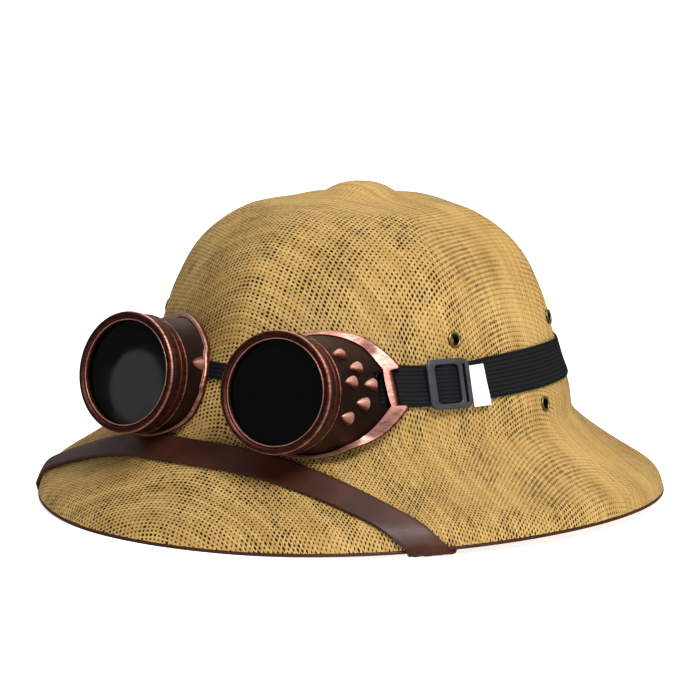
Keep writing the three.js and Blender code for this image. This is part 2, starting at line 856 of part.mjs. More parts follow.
function ringGeometry() {
  const bore = ringRadius - ringWall;
  const barrelRadius = collarRadius + ringRound;
  const section = [
    [windowRadius, ringLip / 2],
    [ringRadius - ringCrest, 0],
    [ringRadius - ringRound, ringRound],
    [ringRadius, ringLip / 2],
    [ringRadius - ringRound, ringLip],
    [collarRadius, ringLip + ringRound],
    [barrelRadius, ringLip + ringGroove],
    [barrelRadius, ringLength],
    [bore, ringLength],
    [bore, ringLip],
    [windowRadius, ringLip],
    [windowRadius, ringLip / 2],
  ].map(([r, d]) => new THREE.Vector2(r, -d));
  const lathe = new THREE.LatheGeometry(section, ringSides);
  lathe.deleteAttribute("normal");
  lathe.deleteAttribute("uv");
  return finishGeometry(Array.from(lathe.attributes.position.array), Array.from(lathe.index.array));
}

// Turns a piece made along +Y so that it looks out along the goggle's axis.
function placeInGoggle(mesh, side) {
  const frame = goggleFrame(side);
  mesh.position.copy(frame.centre);
  mesh.quaternion.setFromUnitVectors(new THREE.Vector3(0, 1, 0), frame.a);
}

// Elastic strap

// Angle round the hat of a point of the tip's plane, at the crown.
function crownAngleOf(h) {
  const frame = goggleFrame(1);
  const angle = Math.atan2(tipRise, h);
  const reach = Math.hypot(h, tipRise);
  const p = inGoggle(frame, h, tipRise, seatDepth(frame, angle, reach));
  return Math.atan2(p.x, -p.y);
}

const barAngle = crownAngleOf((barInside + barOutside) / 2);
const postAngle = crownAngleOf(barInside - slotWidth / 2);
const labelHalfAngle = labelWidth / 2 / crownHalfWidth;
const tailAngle = labelAngle + tailShare * labelHalfAngle;

// Parts of the slider along the strap, from its own middle.
const sliderHalf = sliderWidth / 2;
const sliderWideStart = sliderBar - sliderHalf;
const sliderSlimEnd = sliderHalf - sliderSlimBar;
const sliderSlimStart = sliderSlimEnd - sliderSlimWindow;
const sliderWideEnd = sliderSlimStart - sliderSlimBar;
const sliderPegAt = mix(sliderWideStart, sliderWideEnd, 0.5);
const sliderLift = elasticOuterLift + elasticThickness / 2 + gap;
const pegLift = elasticInnerLift + elasticThickness / 2 + gap;
const elasticPegLift = pegLift + sliderPegThickness + gap + elasticThickness / 2;

// Middle line of the elastic: the outer layer from its end through the slider to the
// post, round the post, and the inner layer round the back to the other side.
function elasticPath() {
  const inSlider = (x) => sliderAngle + x / crownHalfWidth;
  const pegHalf = sliderSlimBar / 2 + gap;
  const half = [
    { angle: tailAngle, lift: elasticOuterLift },
    { angle: mix(tailAngle, inSlider(sliderHalf), 0.5), lift: elasticOuterLift },
    { angle: inSlider(sliderHalf), lift: elasticOuterLift },
    { angle: inSlider(sliderWideEnd - 2 * gap), lift: elasticOuterLift },
    { angle: inSlider(sliderPegAt + pegHalf), lift: elasticPegLift },
    { angle: inSlider(sliderPegAt - pegHalf), lift: elasticPegLift },
    { angle: inSlider(sliderWideStart + 2 * gap), lift: elasticOuterLift },
    { angle: inSlider(-sliderHalf), lift: elasticOuterLift },
    { angle: mix(barAngle, inSlider(-sliderHalf), 0.5), lift: elasticOuterLift },
  ];
  half.push({ angle: mix(barAngle, postAngle, 0.6), lift: postLift + foldRadius });
  const foldSteps = 6;
  for (let i = 0; i <= foldSteps; i++) {
    const turn = (i / foldSteps) * Math.PI;
    half.push({
      angle: postAngle - (Math.sin(turn) * foldRadius) / crownHalfLength,
      lift: postLift + Math.cos(turn) * foldRadius,
    });
  }
  const backSteps = 20;
  for (let i = 1; i <= backSteps; i++) {
    half.push({ angle: mix(postAngle, Math.PI, i / backSteps), lift: elasticInnerLift });
  }
  const other = half.slice(0, -1).map((p) => ({ angle: 2 * Math.PI - p.angle, lift: p.lift }));
  return [...half, ...other.reverse()];
}

// Sections of a band that stands on the crown's wall along a path.
function bandSections(path, level, width, thickness) {
  const lines = [-width / 2, 0, width / 2].map((rise) =>
    path.map((p) => onCrown(p.angle, level + rise, p.lift)));
  return path.map((_, i) => {
    const sides = lines.map((points) => {
      const a = points[Math.max(0, i - 1)];
      const b = points[Math.min(points.length - 1, i + 1)];
      const side = new THREE.Vector3(b.y - a.y, a.x - b.x, 0).setLength(thickness / 2);
      return [points[i].clone().sub(side), points[i].clone().add(side)];
    });
    return [...sides.map((pair) => pair[0]), ...sides.map((pair) => pair[1]).reverse()];
  });
}

function labelGeometry() {
  const lift = elasticOuterLift + elasticThickness / 2 + gap + labelThickness / 2;
  const path = [-1, 0, 1].map((hand) => ({ angle: labelAngle + hand * labelHalfAngle, lift }));
  return loftLoops(bandSections(path, elasticHeight, elasticWidth + labelOverhang, labelThickness), false);
}

function noseBandGeometry() {
  const lift = gap + slack + noseBandThickness / 2;
  const reach = (goggleSpacing / 2 - ringRadius + rimNarrow + cupWall) / crownHalfLength;
  const steps = 6;
  const path = [];
  for (let i = 0; i <= steps; i++) {
    path.push({ angle: mix(-reach, reach, i / steps), lift });
  }
  return loftLoops(bandSections(path, noseBandLevel, noseBandHeight, noseBandThickness), false);
}

// A block of the slider: along the strap, across it and out of the crown.
function sliderBlock(along, across, out) {
  const size = [along, across, out].map(([from, to]) => to - from);
  const middle = [along, across, out].map(([from, to]) => (from + to) / 2);
  return toSolid(new THREE.BoxGeometry(...size).translate(...middle));
}

// Slider: a frame with a wide and a narrow window, lying on the strap. A peg set
// lower crosses the wide window, and the strap passes over it.
function sliderGeometry() {
  const high = sliderHeight / 2;
  const open = high - sliderRail;
  const deep = pegLift - sliderLift;
  const through = [-1, sliderThickness + 1];
  const peg = [sliderPegAt - sliderSlimBar / 2, sliderPegAt + sliderSlimBar / 2];
  const legs = sliderBlock(peg, [-high, high], [deep, gap])
    .subtract(sliderBlock([-sliderHalf, sliderHalf], [-open, open], [deep + sliderPegThickness, 1]));
  const frame = sliderBlock([-sliderHalf, sliderHalf], [-high, high], [0, sliderThickness])
    .subtract(sliderBlock([sliderWideStart, sliderWideEnd], [-open, open], through))
    .subtract(sliderBlock([sliderSlimStart, sliderSlimEnd], [-open, open], through));
  return fromSolid(frame.add(legs));
}

// Post in the fold of the elastic at a cup's tip.
function postGeometry() {
  return new THREE.CylinderGeometry(postRadius, postRadius, elasticWidth + 2 * postOverhang, 8);
}

// Assembly

const cutters = [];
const eyelets = [
  { name: "front", angle: eyeletFrontAngle, z: eyeletFrontHeight, grip: strawWall + 2 * gap },
  { name: "rear", angle: eyeletRearAngle, z: eyeletRearHeight, grip: strawWall + 2 * gap },
  {
    name: "low",
    angle: eyeletLowAngle,
    z: eyeletLowHeight,
    grip: strawWall + chinThickness + 3 * gap,
  },
];
const punch = new THREE.CylinderGeometry(eyeletBarrel + gap, eyeletBarrel + gap, 16, eyeletSides);
const placedEyelets = [];
for (const [hand, side] of [["left", 1], ["right", -1]]) {
  for (const eyelet of eyelets) {
    const matrix = standOnCrown(side * eyelet.angle, eyelet.z);
    cutters.push(toSolid(punch, matrix));
    placedEyelets.push({ name: `eyelet_${hand}_${eyelet.name}`, matrix, grip: eyelet.grip });
  }
}

function punched(geometry) {
  let solid = toSolid(geometry);
  for (const cutter of cutters) {
    solid = solid.subtract(cutter);
  }
  return fromSolid(solid);
}

addPiece("straw_shell", punched(shellGeometry()), materials.straw);
addPiece("brim_binding", bindingGeometry(), materials.leather);
addPiece("chin_strap", punched(chinGeometry()), materials.leather);
for (const { name, matrix, grip } of placedEyelets) {
  const mesh = addPiece(name, eyeletGeometry(grip), materials.brass);
  matrix.decompose(mesh.position, mesh.quaternion, mesh.scale);
}

for (const [hand, side] of [["left", 1], ["right", -1]]) {
  addPiece(`goggle_cup_${hand}`, cupGeometry(side), materials.copper);
  placeInGoggle(addPiece(`lens_ring_${hand}`, ringGeometry(), materials.copper), side);
  const glass = new THREE.CylinderGeometry(fitRadius, fitRadius, glassThickness, ringSides);
  glass.translate(0, -glassDepth - glassThickness / 2, 0);
  placeInGoggle(addPiece(`lens_${hand}`, glass, materials.glass), side);
  const post = addPiece(`strap_post_${hand}`, postGeometry(), materials.copper);
  const low = onCrown(side * postAngle, elasticHeight - elasticWidth / 2, postLift);
  const high = onCrown(side * postAngle, elasticHeight + elasticWidth / 2, postLift);
  const middle = onCrown(side * postAngle, elasticHeight, postLift);
  post.position.copy(low).add(high).multiplyScalar(0.5).lerp(middle, 0.5);
  const along = high.sub(low).normalize();
  post.quaternion.setFromUnitVectors(new THREE.Vector3(0, 1, 0), along);
}

addPiece("nose_band", noseBandGeometry(), materials.elastic);
const elastic = bandSections(elasticPath(), elasticHeight, elasticWidth, elasticThickness);
addPiece("elastic_strap", loftLoops(elastic, false), materials.elastic);
addPiece("strap_label", labelGeometry(), materials.label);

const slider = addPiece("strap_slider", sliderGeometry(), materials.plastic);
const sliderAxes = crownAxes(sliderAngle, elasticHeight, sliderWidth / 2);
const sliderBasis = new THREE.Matrix4().makeBasis(sliderAxes.along, sliderAxes.up, sliderAxes.out);
slider.quaternion.setFromRotationMatrix(sliderBasis);
slider.position.copy(onCrown(sliderAngle, elasticHeight, sliderLift));

export default group;
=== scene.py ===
"""Looks of a woven straw sun helmet with goggles strapped round its crown.

Lengths in the classes are millimetres, +Z up, the hat's front towards -Y and the
wearer's left towards +X. Angles round the hat start at the front.
"""

import logging
import math
from dataclasses import dataclass, field
from enum import Enum
from typing import Sequence

import bmesh
import bpy
import numpy as np
from mathutils import Matrix, Vector

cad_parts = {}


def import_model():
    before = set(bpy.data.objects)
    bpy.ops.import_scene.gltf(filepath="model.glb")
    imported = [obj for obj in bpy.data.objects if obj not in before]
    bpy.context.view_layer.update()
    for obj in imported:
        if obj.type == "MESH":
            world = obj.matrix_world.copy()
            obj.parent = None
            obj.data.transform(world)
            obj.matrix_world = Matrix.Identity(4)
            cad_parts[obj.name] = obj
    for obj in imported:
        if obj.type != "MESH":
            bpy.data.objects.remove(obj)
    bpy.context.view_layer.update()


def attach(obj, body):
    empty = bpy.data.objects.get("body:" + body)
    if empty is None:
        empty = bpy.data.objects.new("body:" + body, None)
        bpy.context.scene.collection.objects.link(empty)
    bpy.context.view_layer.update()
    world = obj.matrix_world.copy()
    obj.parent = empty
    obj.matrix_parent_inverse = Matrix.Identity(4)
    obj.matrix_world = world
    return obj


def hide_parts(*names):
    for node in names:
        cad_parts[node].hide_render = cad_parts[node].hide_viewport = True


LOG = logging.getLogger("straw_helmet")
MM = 0.001
ROOT = "hat"

Array = np.ndarray
Socket = bpy.types.NodeSocket


class Side(Enum):
    """The wearer's left or right."""

    LEFT = 1
    RIGHT = -1

    @property
    def word(self) -> str:
        """The side's name as the frame's nodes spell it."""
        return self.name.lower()


def smooth_step(low: float, high: float, value: Array) -> Array:
    """Eased share of the way from low to high.

    Args:
        low: Value at which the share is 0.
        high: Value at which the share is 1.
        value: Values to ease.

    Returns:
        The shares, between 0 and 1.
    """
    t = np.clip((np.asarray(value, float) - low) / (high - low), 0.0, 1.0)
    return t * t * (3 - 2 * t)


def mix(a: Array, b: Array, share: Array) -> Array:
    """Point the given share of the way from a to b."""
    return a + (b - a) * share


def catmull(points: Array, steps: int) -> Array:
    """Smooth line through points, with a number of steps between each pair.

    Args:
        points: Points to pass through, one row each.
        steps: Steps between two points.

    Returns:
        The line's points, the last one included.
    """
    p = np.vstack([2 * points[0] - points[1], points, 2 * points[-1] - points[-2]])
    t = np.arange(steps)[:, None] / steps
    rows = []
    for i in range(1, len(p) - 2):
        a, b, c, d = p[i - 1], p[i], p[i + 1], p[i + 2]
        rows.append(
            0.5 * (2 * b + (c - a) * t + (2 * a - 5 * b + 4 * c - d) * t**2 + (3 * b - a - 3 * c + d) * t**3)
        )
    rows.append(points[-1:])
    return np.vstack(rows)


def line_normals(r: Array, z: Array) -> tuple[Array, Array]:
    """Outward normals of lines that run down and out, along their last axis.

    Args:
        r: Radii of the lines' points.
        z: Heights of the lines' points.

    Returns:
        The normals' radial and upward parts.
    """
    dr, dz = np.gradient(r, axis=-1), np.gradient(z, axis=-1)
    length = np.hypot(dr, dz)
    return -dz / length, dr / length


def run_along(r: Array, z: Array) -> Array:
    """Way along lines of radius and height, from the first point of each."""
    steps = np.hypot(np.diff(r, axis=-1), np.diff(z, axis=-1))
    return np.concatenate([np.zeros((len(r), 1)), np.cumsum(steps, axis=1)], axis=1)


def round_hat(theta: Array, r: Array, z: Array) -> Array:
    """Points at an angle round the hat, a radius and a height."""
    theta, r, z = np.broadcast_arrays(theta, r, z)
    return np.stack([r * np.sin(theta), -r * np.cos(theta), z], axis=-1)


# Meshes


def put_in_scene(name: str, data: bpy.types.ID) -> bpy.types.Object:
    """Adds an object with the given data to the scene.

    Args:
        name: Name of the object.
        data: Its mesh, curve, lamp or camera.

    Returns:
        The object.
    """
    made = bpy.data.objects.new(name, data)
    bpy.context.scene.collection.objects.link(made)
    return made


def seat_matrix(x: Array, y: Array, z: Array, place: Array) -> Matrix:
    """Matrix with the given axes and place."""
    axes = np.stack([x, y, z], axis=1)
    return Matrix([[*row, place[i]] for i, row in enumerate(axes)] + [[0, 0, 0, 1]])


def stand(piece: bpy.types.Object, seat: Matrix) -> None:
    """Moves a piece's mesh to a seat given in millimetres."""
    piece.data.transform(Matrix.Scale(MM, 4) @ seat @ Matrix.Scale(1 / MM, 4))


@dataclass
class Draft:
    """Vertices, faces and per-vertex values of a mesh in the making."""

    points: list[Array] = field(default_factory=list)
    faces: list[tuple[int, ...]] = field(default_factory=list)
    wear: list[Array] = field(default_factory=list)
    weave: list[Array] = field(default_factory=list)
    count: int = 0

    def add(self, points: Array, wear: Array | float = 0.0, weave: Array | None = None) -> int:
        """Adds points.

        Args:
            points: The points, one row each.
            wear: How worn the finish is at each point, with painted highlight and sheen on some pieces.
            weave: Place of each point on the flat cloth, in millimetres.

        Returns:
            Number of the first point added.
        """
        start = self.count
        points = np.asarray(points, float).reshape(-1, 3)
        self.points.append(points)
        self.wear.append(np.broadcast_to(np.asarray(wear, float), (len(points),)).copy())
        self.weave.append(np.zeros((len(points), 2)) if weave is None else np.asarray(weave, float))
        self.count += len(points)
        return start

    def grid(self, start: int, rows: int, columns: int, wrap_rows: bool, wrap_columns: bool) -> None:
        """Joins a grid of points that were added row by row.

        Args:
            start: Number of the first point.
            rows: Number of rows.
            columns: Points in a row.
            wrap_rows: Whether the last row meets the first.
            wrap_columns: Whether a row closes on itself.
        """
        row_joins = rows if wrap_rows else rows - 1
        column_joins = columns if wrap_columns else columns - 1
        for i in range(row_joins):
            a = start + i * columns
            b = start + ((i + 1) % rows) * columns
            for j in range(column_joins):
                k = (j + 1) % columns
                self.faces.append((a + j, a + k, b + k, b + j))

    def fan(self, hub: int, ring: Sequence[int]) -> None:
        """Closes a ring of points with triangles round a hub."""
        for j, a in enumerate(ring):
            self.faces.append((hub, a, ring[(j + 1) % len(ring)]))

    def build(self, name: str, sharp: float = 40.0) -> bpy.types.Object:
        """Makes the object, with its faces pointing out.

        Args:
            name: Name of the object.
            sharp: Angle in degrees from which an edge is drawn sharp.

        Returns:
            The object, placed by its mesh.
        """
        mesh = bpy.data.meshes.new(name)
        mesh.from_pydata((np.vstack(self.points) * MM).tolist(), [], self.faces)
        attribute = mesh.attributes.new("wear", "FLOAT", "POINT")
        attribute.data.foreach_set("value", np.concatenate(self.wear).astype(np.float32))
        corner = np.zeros(len(mesh.loops), np.int32)
        mesh.loops.foreach_get("vertex_index", corner)
        uv = mesh.uv_layers.new(name="weave")
        uv.data.foreach_set("uv", np.vstack(self.weave)[corner].astype(np.float32).ravel())
        tidy_faces(mesh)
        mesh.shade_smooth()
        mesh.set_sharp_from_angle(angle=math.radians(sharp))
        return put_in_scene(name, mesh)


def tidy_faces(mesh: bpy.types.Mesh) -> None:
    """Merges points that meet and turns the faces outwards.

    Args:
        mesh: Mesh to change.
    """
    work = bmesh.new()
    work.from_mesh(mesh)
    bmesh.ops.remove_doubles(work, verts=work.verts, dist=1e-6)
    if work.calc_volume(signed=True) < 0:
        bmesh.ops.reverse_faces(work, faces=work.faces)
    work.to_mesh(mesh)
    work.free()


def loft(
    name: str,
    sections: Array,
    closed: bool,
    wear: Array | float = 0.0,
    weave: Array | None = None,
    sharp: float = 40.0,
) -> bpy.types.Object:
    """Makes a solid from a row of loops.

    Args:
        name: Name of the object.
        sections: Loops of points, as (loop, point, 3).
        closed: Whether the last loop meets the first.
        wear: How worn the finish is at each point, with painted highlight and sheen on some pieces.
        weave: Place of each point on the flat cloth, in millimetres.
        sharp: Angle in degrees from which an edge is drawn sharp.

    Returns:
        The object.
    """
    loops, count = sections.shape[:2]
    draft = Draft()
    wear = np.broadcast_to(np.asarray(wear, float), (loops, count)).ravel()
    flat = None if weave is None else weave.reshape(-1, 2)
    start = draft.add(sections.reshape(-1, 3), wear, flat)
    draft.grid(start, loops, count, closed, True)
    if not closed:
        draft.faces.append(tuple(range(start, start + count)))
        draft.faces.append(tuple(range(start + (loops - 1) * count, start + loops * count))[::-1])
    return draft.build(name, sharp)


def bake_modifiers(piece: bpy.types.Object) -> None:
    """Turns a piece's modifiers into plain mesh.

    Args:
        piece: Object to change.
    """
    bpy.context.view_layer.update()
    evaluated = piece.evaluated_get(bpy.context.evaluated_depsgraph_get())
    mesh = bpy.data.meshes.new_from_object(evaluated)
    piece.modifiers.clear()
    old = piece.data
    piece.data = mesh
    mesh.name = piece.name
    bpy.data.meshes.remove(old)


def cut_away(piece: bpy.types.Object, cutters: Sequence[bpy.types.Object]) -> None:
    """Cuts other solids out of a piece and removes them.

    Args:
        piece: Object to cut.
        cutters: Solids to cut out of it.
    """
    for cutter in cutters:
        cut = piece.modifiers.new("cut", "BOOLEAN")
        cut.operation, cut.solver, cut.object = "DIFFERENCE", "EXACT", cutter
    bake_modifiers(piece)
    for cutter in cutters:
        bpy.data.objects.remove(cutter)


def dress(piece: bpy.types.Object, material: bpy.types.Material, slot: str, body: str, *nodes: str) -> None:
    """Gives a piece its finish, its body and the frame nodes that it stands for.

    Args:
        piece: Object to dress.
        material: Its finish.
        slot: Name of the finish's slot; not used.
        body: Body that it rides.
        nodes: Frame nodes that it replaces.
    """
    piece.data.materials.clear()
    piece.data.materials.append(material)
    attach(piece, body)
    if nodes:
        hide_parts(*nodes)
    LOG.info("%s: %d faces on %s", piece.name, len(piece.data.polygons), body)


# Finishes


def linear(red: int, green: int, blue: int) -> tuple[float, float, float, float]:
    """Scene colour of a screen colour given as 0 to 255.

    Args:
        red: Red, 0 to 255.
        green: Green, 0 to 255.
        blue: Blue, 0 to 255.

    Returns:
        The colour with full cover.
    """
    def one(value: int) -> float:
        """Scene value of one channel."""
        share = value / 255
        return share / 12.92 if share <= 0.04045 else ((share + 0.055) / 1.055) ** 2.4

    return one(red), one(green), one(blue), 1.0


class Shading:
    """Short calls that build one material's nodes."""

    def __init__(self, name: str, **values: float | tuple[float, ...]) -> None:
        """Starts a material.

        Args:
            name: Name of the material.
            values: Values of the shader's sockets, with spaces as underscores.
        """
        self.material = bpy.data.materials.new(name)
        self.material.use_nodes = True
        self.tree = self.material.node_tree
        self.shader = self.tree.nodes["Principled BSDF"]
        for key, value in values.items():
            self.shader.inputs[key.replace("_", " ")].default_value = value

    def node(self, kind: str, **options: object) -> bpy.types.Node:
        """Adds a node of a kind with its options set.

        Args:
            kind: Kind of node.
            options: Its options and their values.

        Returns:
            The node.
        """
        made = self.tree.nodes.new(kind)
        for key, value in options.items():
            setattr(made, key, value)
        return made

    def feed(self, target: Socket, value: Socket | float | tuple[float, ...]) -> None:
        """Links a socket to a target, or sets its value.

        Args:
            target: Socket to feed.
            value: Socket to link, or value to set.
        """
        if isinstance(value, bpy.types.NodeSocket):
            self.tree.links.new(value, target)
        else:
            target.default_value = value

    def math(self, operation: str, *values: Socket | float, clamp: bool = False) -> Socket:
        """Result of a math node.

        Args:
            operation: Name of the operation.
            values: What goes in.
            clamp: Whether to keep it between 0 and 1.

        Returns:
            The result.
        """
        made = self.node("ShaderNodeMath", operation=operation, use_clamp=clamp)
        for target, value in zip(made.inputs, values):
            self.feed(target, value)
        return made.outputs[0]

    def remap(self, value: Socket, low: Socket | float, high: Socket | float, a: float, b: float) -> Socket:
        """Value eased from low..high to a..b.

        Args:
            value: Value to change.
            low: Value that gives a.
            high: Value that gives b.
            a: Result at low.
            b: Result at high.

        Returns:
            The result.
        """
        made = self.node("ShaderNodeMapRange", interpolation_type="SMOOTHSTEP")
        for target, given in zip(made.inputs, (value, low, high, a, b)):
            self.feed(target, given)
        return made.outputs[0]

    def blend(
        self, share: Socket | float, a: Socket | tuple[float, ...], b: Socket | tuple[float, ...]
    ) -> Socket:
        """Colour the given share of the way from a to b.

        Args:
            share: Share of the way.
            a: First colour.
            b: Second colour.

        Returns:
            The colour.
        """
        made = self.node("ShaderNodeMix", data_type="RGBA")
        for index, value in ((0, share), (6, a), (7, b)):
            self.feed(made.inputs[index], value)
        return made.outputs[2]

    def place(self, scale: tuple[float, float, float] = (1, 1, 1)) -> Socket:
        """Object coordinates in metres, scaled.

        Args:
            scale: How the coordinates are scaled.

        Returns:
            The coordinates.
        """
        source = self.node("ShaderNodeTexCoord").outputs["Object"]
        made = self.node("ShaderNodeMapping")
        self.feed(made.inputs["Vector"], source)
        made.inputs["Scale"].default_value = scale
        return made.outputs[0]

    def cloth(self) -> Socket:
        """Place on the flat cloth, in millimetres."""
        return self.node("ShaderNodeUVMap", uv_map="weave").outputs[0]

    def attribute(self, name: str) -> Socket:
        """A value kept at the mesh's points."""
        return self.node("ShaderNodeAttribute", attribute_name=name).outputs["Fac"]

    def noise(self, place: Socket, scale: float, detail: float = 2.0, rough: float = 0.5) -> Socket:
        """Cloudy values from 0 to 1.

        Args:
            place: Where the values are read.
            scale: How fine they are.
            detail: Finer layers added.
            rough: Weight of the finer layers.

        Returns:
            The values.
        """
        made = self.node("ShaderNodeTexNoise")
        self.feed(made.inputs["Vector"], place)
        made.inputs["Scale"].default_value = scale
        made.inputs["Detail"].default_value = detail
        made.inputs["Roughness"].default_value = rough
        return made.outputs[0]

    def relief(self, height: Socket, depth: float, strength: float = 1.0) -> None:
        """Raises the surface by a height in metres, after any relief set before.

        Args:
            height: Height, 0 to 1.
            depth: What a height of 1 stands for.
            strength: How far the light follows it.
        """
        made = self.node("ShaderNodeBump")
        made.inputs["Strength"].default_value = strength
        made.inputs["Distance"].default_value = depth
        self.feed(made.inputs["Height"], height)
        normal = self.shader.inputs["Normal"]
        if normal.is_linked:
            self.feed(made.inputs["Normal"], normal.links[0].from_socket)
        self.feed(normal, made.outputs[0])

    def set(self, **values: Socket) -> None:
        """Links sockets of the shader."""
        for key, value in values.items():
            self.feed(self.shader.inputs[key.replace("_", " ")], value)


@dataclass(frozen=True)
class StrawFinish:
    """Open plain weave of paper straw."""

    pitch: tuple[float, float] = (2.3, 1.9)
    light: tuple[int, int, int] = (203, 168, 102)
    dark: tuple[int, int, int] = (152, 117, 56)
    # Colour of the gaps in the weave: painted shade of the crown's inside seen through them
    hole: tuple[int, int, int] = (30, 18, 8)
    openness: float = 0.71
    closing: float = 0.5
    looseness: float = 0.3
    softness: float = 0.06
    sway: float = 2.0
    crossing: float = 0.3
    thread_relief: float = 0.00035
    fibre_relief: float = 0.00012

    def make(self) -> bpy.types.Material:
        """Builds the material.

        Returns:
            The material.
        """
        s = Shading("woven_straw", Roughness=0.78, Specular_IOR_Level=0.25)
        cloth, place = s.cloth(), s.place()
        split = s.node("ShaderNodeSeparateXYZ")
        s.feed(split.inputs[0], cloth)
        waver = s.noise(cloth, 0.02, 1.0)
        sway = s.math("MULTIPLY_ADD", waver, self.sway, -self.sway / 2)
        x = s.math("DIVIDE", s.math("ADD", split.outputs[0], sway), self.pitch[0])
        y = s.math("DIVIDE", s.math("ADD", split.outputs[1], sway), self.pitch[1])
        domes, arcs, cells = [], [], []
        for value in (x, y):
            part = s.math("SUBTRACT", s.math("FRACT", value), 0.5)
            domes.append(s.math("MULTIPLY_ADD", s.math("MULTIPLY", part, part), -4.0, 1.0))
            arcs.append(s.math("COSINE", s.math("MULTIPLY", part, math.pi)))
            cells.append(s.math("FLOOR", value))
        turn = s.math("MODULO", s.math("ABSOLUTE", s.math("ADD", cells[0], cells[1])), 2.0)
        over = s.math("MULTIPLY_ADD", turn, -2 * self.crossing, self.crossing)
        warp = s.math("MULTIPLY_ADD", over, arcs[1], domes[0])
        under = s.math("MULTIPLY", over, -1.0)
        weft = s.math("MULTIPLY_ADD", under, arcs[0], domes[1])
        height = s.math("MAXIMUM", warp, weft)
        corner = s.math("MAXIMUM", domes[0], domes[1])
        patch = s.remap(s.noise(cloth, 0.045, 2.0), 0.34, 0.62, -0.16, 0.06)
        patch = s.math("MULTIPLY_ADD", s.attribute("wear"), -self.closing, patch)
        knots = s.node("ShaderNodeCombineXYZ")
        s.feed(knots.inputs[0], s.math("ROUND", x))
        s.feed(knots.inputs[1], s.math("ROUND", y))
        loose = s.node("ShaderNodeTexWhiteNoise", noise_dimensions="2D")
        s.feed(loose.inputs[0], knots.outputs[0])
        spread = s.math("MULTIPLY_ADD", loose.outputs[0], self.looseness, -self.looseness / 2)
        edge = s.math("ADD", s.math("ADD", patch, spread), self.openness)
        low, high = (s.math(way, edge, self.softness) for way in ("SUBTRACT", "ADD"))
        solid = s.remap(corner, low, high, 0.0, 1.0)
        fibre = s.noise(place, 900.0, 3.0, 0.7)
        cloud = s.noise(place, 28.0, 3.0)
        strand = s.node("ShaderNodeTexWhiteNoise", noise_dimensions="1D")
        s.feed(strand.inputs["W"], cells[1])
        tone = s.math("ADD", s.math("MULTIPLY", fibre, 0.5), s.math("MULTIPLY", cloud, 0.35))
        tone = s.math("ADD", tone, s.math("MULTIPLY", strand.outputs[0], 0.15))
        tone = s.remap(tone, 0.25, 0.75, 0.0, 1.0)
        colour = s.blend(tone, linear(*self.dark), linear(*self.light))
        # Threads are blended towards the dark tone where they dip low: painted shade
        shaded = s.blend(s.remap(height, 0.2, 1.1, 0.45, 0.0), colour, linear(*self.dark))
        # Gaps between the threads take the dark gap colour: painted shade
        s.set(Base_Color=s.blend(solid, linear(*self.hole), shaded))
        s.relief(s.math("MULTIPLY", height, solid), self.thread_relief, 0.9)
        s.relief(fibre, self.fibre_relief, 0.5)
        return s.material


@dataclass(frozen=True)
class LeatherFinish:
    """Satin brown leather with darker, rubbed edges."""

    colour: tuple[int, int, int] = (74, 38, 25)
    deep: tuple[int, int, int] = (54, 27, 17)
    grain: float = 1500.0
    grain_relief: float = 0.00006
    crease_relief: float = 0.00025

    def make(self) -> bpy.types.Material:
        """Builds the material.

        Returns:
            The material.
        """
        s = Shading("brown_leather", Specular_IOR_Level=0.36)
        place = s.place()
        cloud = s.remap(s.noise(place, 45.0, 4.0), 0.3, 0.7, 0.0, 1.0)
        body = s.blend(cloud, linear(*self.deep), linear(*self.colour))
        s.set(Base_Color=s.blend(s.attribute("wear"), body, linear(*self.deep)))
        s.set(Roughness=s.remap(cloud, 0.0, 1.0, 0.42, 0.34))
        cells = s.node("ShaderNodeTexVoronoi", feature="DISTANCE_TO_EDGE")
        s.feed(cells.inputs["Vector"], place)
        cells.inputs["Scale"].default_value = self.grain
        s.relief(s.remap(cells.outputs[0], 0.0, 0.25, 0.0, 1.0), self.grain_relief, 0.6)
        s.relief(s.noise(place, 160.0, 3.0), self.crease_relief, 0.35)
        return s.material


@dataclass(frozen=True)
class CopperFinish:
    """Antique copper: dark patina with bright rubbed edges, and painted highlights where a piece's point
    values carry them.
    """

    patina: tuple[int, int, int] = (46, 29, 24)
    warm: tuple[int, int, int] = (112, 50, 32)
    bright: tuple[int, int, int] = (205, 150, 136)
    streak: float = 3.5
    patchiness: float = 0.9
    grain_relief: float = 0.00008
    dent_relief: float = 0.0002

    def make(self) -> bpy.types.Material:
        """Builds the material.

        Returns:
            The material.
        """
        s = Shading("antique_copper", Metallic=0.85)
        streaks = s.noise(s.place((1, 1, self.streak)), 190.0, 4.0, 0.65)
        grain = s.noise(s.place(), 620.0, 3.0, 0.7)
        cloud = s.noise(s.place(), 90.0, 3.0)
        patches = s.math("MULTIPLY_ADD", streaks, self.patchiness, -self.patchiness / 2)
        # Point values hold how rubbed the copper is, and on the vents a painted highlight on their upper
        # sides
        rubbed = s.math("ADD", s.attribute("wear"), patches)
        first = s.blend(s.remap(rubbed, 0.1, 0.6, 0.0, 1.0), linear(*self.patina), linear(*self.warm))
        s.set(Base_Color=s.blend(s.remap(rubbed, 0.55, 1.0, 0.0, 1.0), first, linear(*self.bright)))
        dull = s.math("ADD", grain, s.math("MULTIPLY", cloud, 0.4))
        s.set(Roughness=s.remap(dull, 0.4, 1.0, 0.42, 0.6))
        s.relief(grain, self.grain_relief, 0.5)
        s.relief(cloud, self.dent_relief, 0.25)
        return s.material


